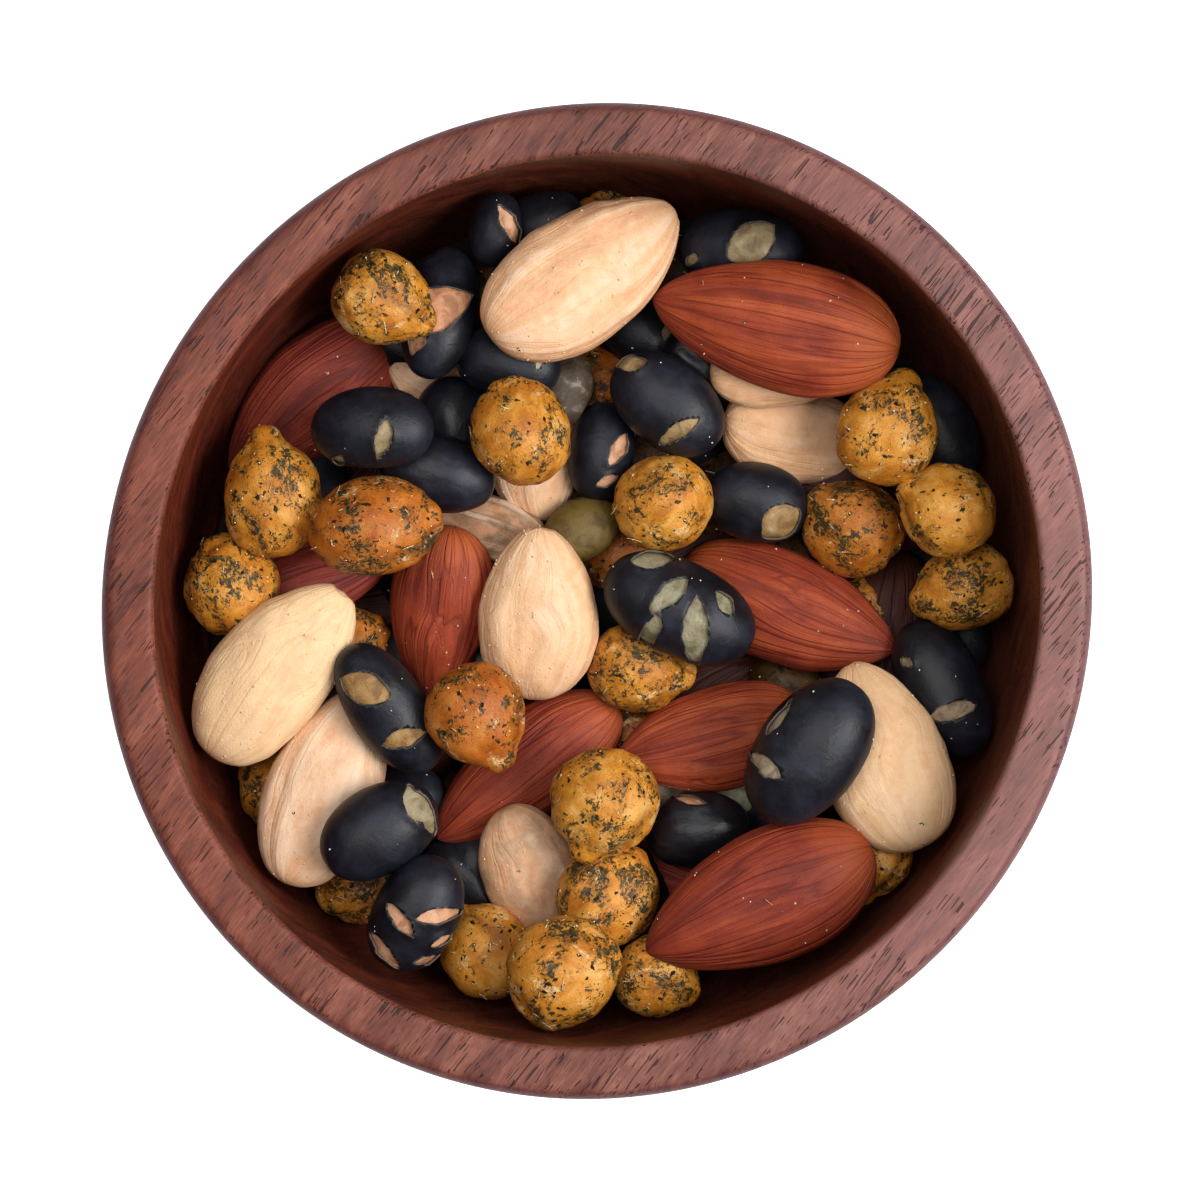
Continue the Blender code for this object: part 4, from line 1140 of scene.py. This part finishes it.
def scattered(name, tree, bit, finish, sources, **values):
    """One piece of bits laid on several objects, each with its own number for a square metre."""
    pile = Pile()
    for seed, (source, density) in enumerate(sources):
        given = {"Bit": bit, "Finish": finish, "Per Square Metre": density, "Seed": seed + SEED}
        given.update({label.replace("_", " "): value for label, value in values.items()})
        modifier = source.modifiers.new("bits", "NODES")
        modifier.node_group = tree
        for item in tree.interface.items_tree:
            if item.name in given:
                modifier[item.identifier] = given[item.name]
        evaluated = source.evaluated_get(bpy.context.evaluated_depsgraph_get())
        mesh = bpy.data.meshes.new_from_object(evaluated)
        source.modifiers.remove(modifier)
        mesh.calc_loop_triangles()
        points = np.empty(len(mesh.vertices) * 3, np.float32)
        mesh.vertices.foreach_get("co", points)
        faces = np.empty(len(mesh.loop_triangles) * 3, np.int32)
        mesh.loop_triangles.foreach_get("vertices", faces)
        pile.add(points.reshape(-1, 3).astype(float), faces.reshape(-1, 3).astype(int))
        bpy.data.meshes.remove(mesh)
    return pile.made(name, finish)


def small_bit(name, fineness, size, curl, seed):
    """A bit to scatter, a few faces each: size is its length, width and thickness, and curl bends it up."""
    from_end, turn, faces = ball_grid(*fineness)
    across = np.sin(from_end)
    points = np.stack([-np.cos(from_end), np.cos(turn) * across, np.sin(turn) * across], axis=-1)
    points *= (1 + 0.45 * noise(points * 1.3 + seed, seed))[:, None]
    points *= np.array(size) / 2
    points[:, 2] += curl * (points[:, 0] / size[0]) ** 2 * size[0]
    return one_piece(name, points, faces, None)


def add_bits(nuts):
    """Herb flakes, salt, crumbs and husk on the nuts that lie in the bowl."""
    tree = scatter_tree()
    herb = crumb_finish("dried herb", {0.35: (22, 21, 10), 0.5: (42, 39, 18), 0.68: (92, 84, 40)}, 0.85)
    salt = crumb_finish("salt grain", {0.3: (226, 216, 200), 0.7: (248, 244, 236)}, 0.35)
    crumb = crumb_finish("nut crumb", {0.3: (214, 168, 112), 0.7: (240, 212, 172)}, 0.6)
    husk = crumb_finish("husk sliver", {0.3: (150, 100, 56), 0.7: (226, 194, 140)}, 0.6)
    leaf = small_bit("leaf bit", (5, 4), (0.55 * MM, 0.34 * MM, 0.09 * MM), 0.3, 4)
    grain = small_bit("grain bit", (4, 3), (0.24 * MM, 0.2 * MM, 0.18 * MM), 0.0, 2)
    sliver = small_bit("sliver bit", (5, 4), (1.5 * MM, 0.2 * MM, 0.1 * MM), 0.25, 3)
    others = [nuts[name] for name in ("almond", "blanched", "bean", "split")]
    bits = [
        scattered("herb_flakes", tree, leaf, herb, [(nuts["chickpea"], 5.5e5)] + [(nut, 0.8e4) for nut in others],
                  Smallest=0.25, Largest=1.25, Tilt=0.45, Sink=0.0),
        scattered("salt_grains", tree, grain, salt, [(nuts["chickpea"], 1.2e5)] + [(nut, 3.0e4) for nut in others],
                  Smallest=0.4, Largest=1.1, Tilt=1.5, Sink=0.02 * MM),
        scattered("nut_crumbs", tree, grain, crumb,
                  [(nuts["blanched"], 3.5e5), (nuts["chickpea"], 1.5e5), (nuts["almond"], 2.0e4)],
                  Smallest=0.5, Largest=1.5, Tilt=1.5, Sink=0.0),
        scattered("husk_slivers", tree, sliver, husk, [(nuts["chickpea"], 8.0e4), (nuts["almond"], 0.5e4)],
                  Smallest=0.3, Largest=1.2, Tilt=0.35, Sink=0.03 * MM),
    ]
    for bit in (leaf, grain, sliver):
        bpy.data.objects.remove(bit)
    return bits


# The studio.

def add_stage():
    """A plain white floor."""
    half = 2.0
    mesh = bpy.data.meshes.new("pale_floor")
    mesh.from_pydata([(-half, -half, 0), (half, -half, 0), (half, half, 0), (-half, half, 0)], [], [(0, 1, 2, 3)])
    finish, _, _ = new_finish("pale floor", Base_Color=(0.9, 0.9, 0.9, 1), Roughness=0.8,
                              Emission_Color=(1, 1, 1, 1), Emission_Strength=0.75)
    mesh.materials.append(finish)
    floor = bpy.data.objects.new("pale_floor", mesh)
    bpy.context.scene.collection.objects.link(floor)


def add_light(name, place, size, power):
    """A soft square light that faces the bowl."""
    data = bpy.data.lights.new(name, "AREA")
    data.energy, data.size = power, size
    light = bpy.data.objects.new(name, data)
    light.location = place
    light.rotation_euler = (Vector((0, 0, BOWL_HEIGHT)) - Vector(place)).to_track_quat("-Z", "Y").to_euler()
    bpy.context.scene.collection.objects.link(light)


def add_camera():
    """A camera straight above, with the bowl a little left of the middle of its view."""
    data = bpy.data.cameras.new("camera")
    data.lens, data.sensor_width, data.clip_start = 195.0, 36.0, 0.01
    camera = bpy.data.objects.new("camera", data)
    camera.location = (0.3 * MM, 0.1 * MM, BOWL_HEIGHT + 0.65)
    bpy.context.scene.collection.objects.link(camera)
    bpy.context.scene.camera = camera


def add_world():
    """Plain white light from all around, and colours shown as they are."""
    world = bpy.data.worlds.new("studio")
    world.use_nodes = True
    background = world.node_tree.nodes["Background"].inputs
    background["Color"].default_value, background["Strength"].default_value = (1.0, 1.0, 1.0, 1.0), 0.17
    bpy.context.scene.world = world
    bpy.context.scene.view_settings.view_transform = "Standard"


def main():
    """The studio, then the heap in place of its plain node, then the bowl in place of its own."""
    add_camera()
    add_world()
    add_light("window", (0.42, -0.03, 0.52), 0.40, 5.0)
    add_light("overhead", (-0.12, 0.16, 0.80), 0.50, 2.9)
    add_stage()
    fibres, grain, specks = lengthwise_fibres(), dry_grain(), herb_specks()
    inside = bean_inside_finish(grain)
    bean_skin = bean_skin_finish(grain)
    finishes = {
        "almond": ("skin_almonds", almond_skin_finish(fibres, grain)),
        "blanched": ("blanched_almonds", blanched_finish(fibres, grain)),
        "bean": ("black_beans", bean_skin),
        "split": ("split_bean_skins", bean_skin),
        "kernel": ("peeled_kernels", inside),
        "chickpea": ("chickpeas", chickpea_finish(grain, specks)),
    }
    nuts = {kind: pile.made(*finishes[kind]) for kind, pile in settled_nuts().items()}
    bits = add_bits(nuts)
    # The heap's core, near-black as painted shade seen between the nuts.
    bottom = one_piece("packed_bottom", *turned(bottom_profile(), BOTTOM_SIDES), painted_shade_finish())
    for piece in (*nuts.values(), *bits, bottom):
        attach(piece, "root")
        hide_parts("trail_mix")
    section = bowl_profile()
    bowl = one_piece("turned_bowl", *turned(section, BOWL_SIDES), wood_finish(), **bowl_parts(section))
    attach(bowl, "root")
    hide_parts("bowl")


main()
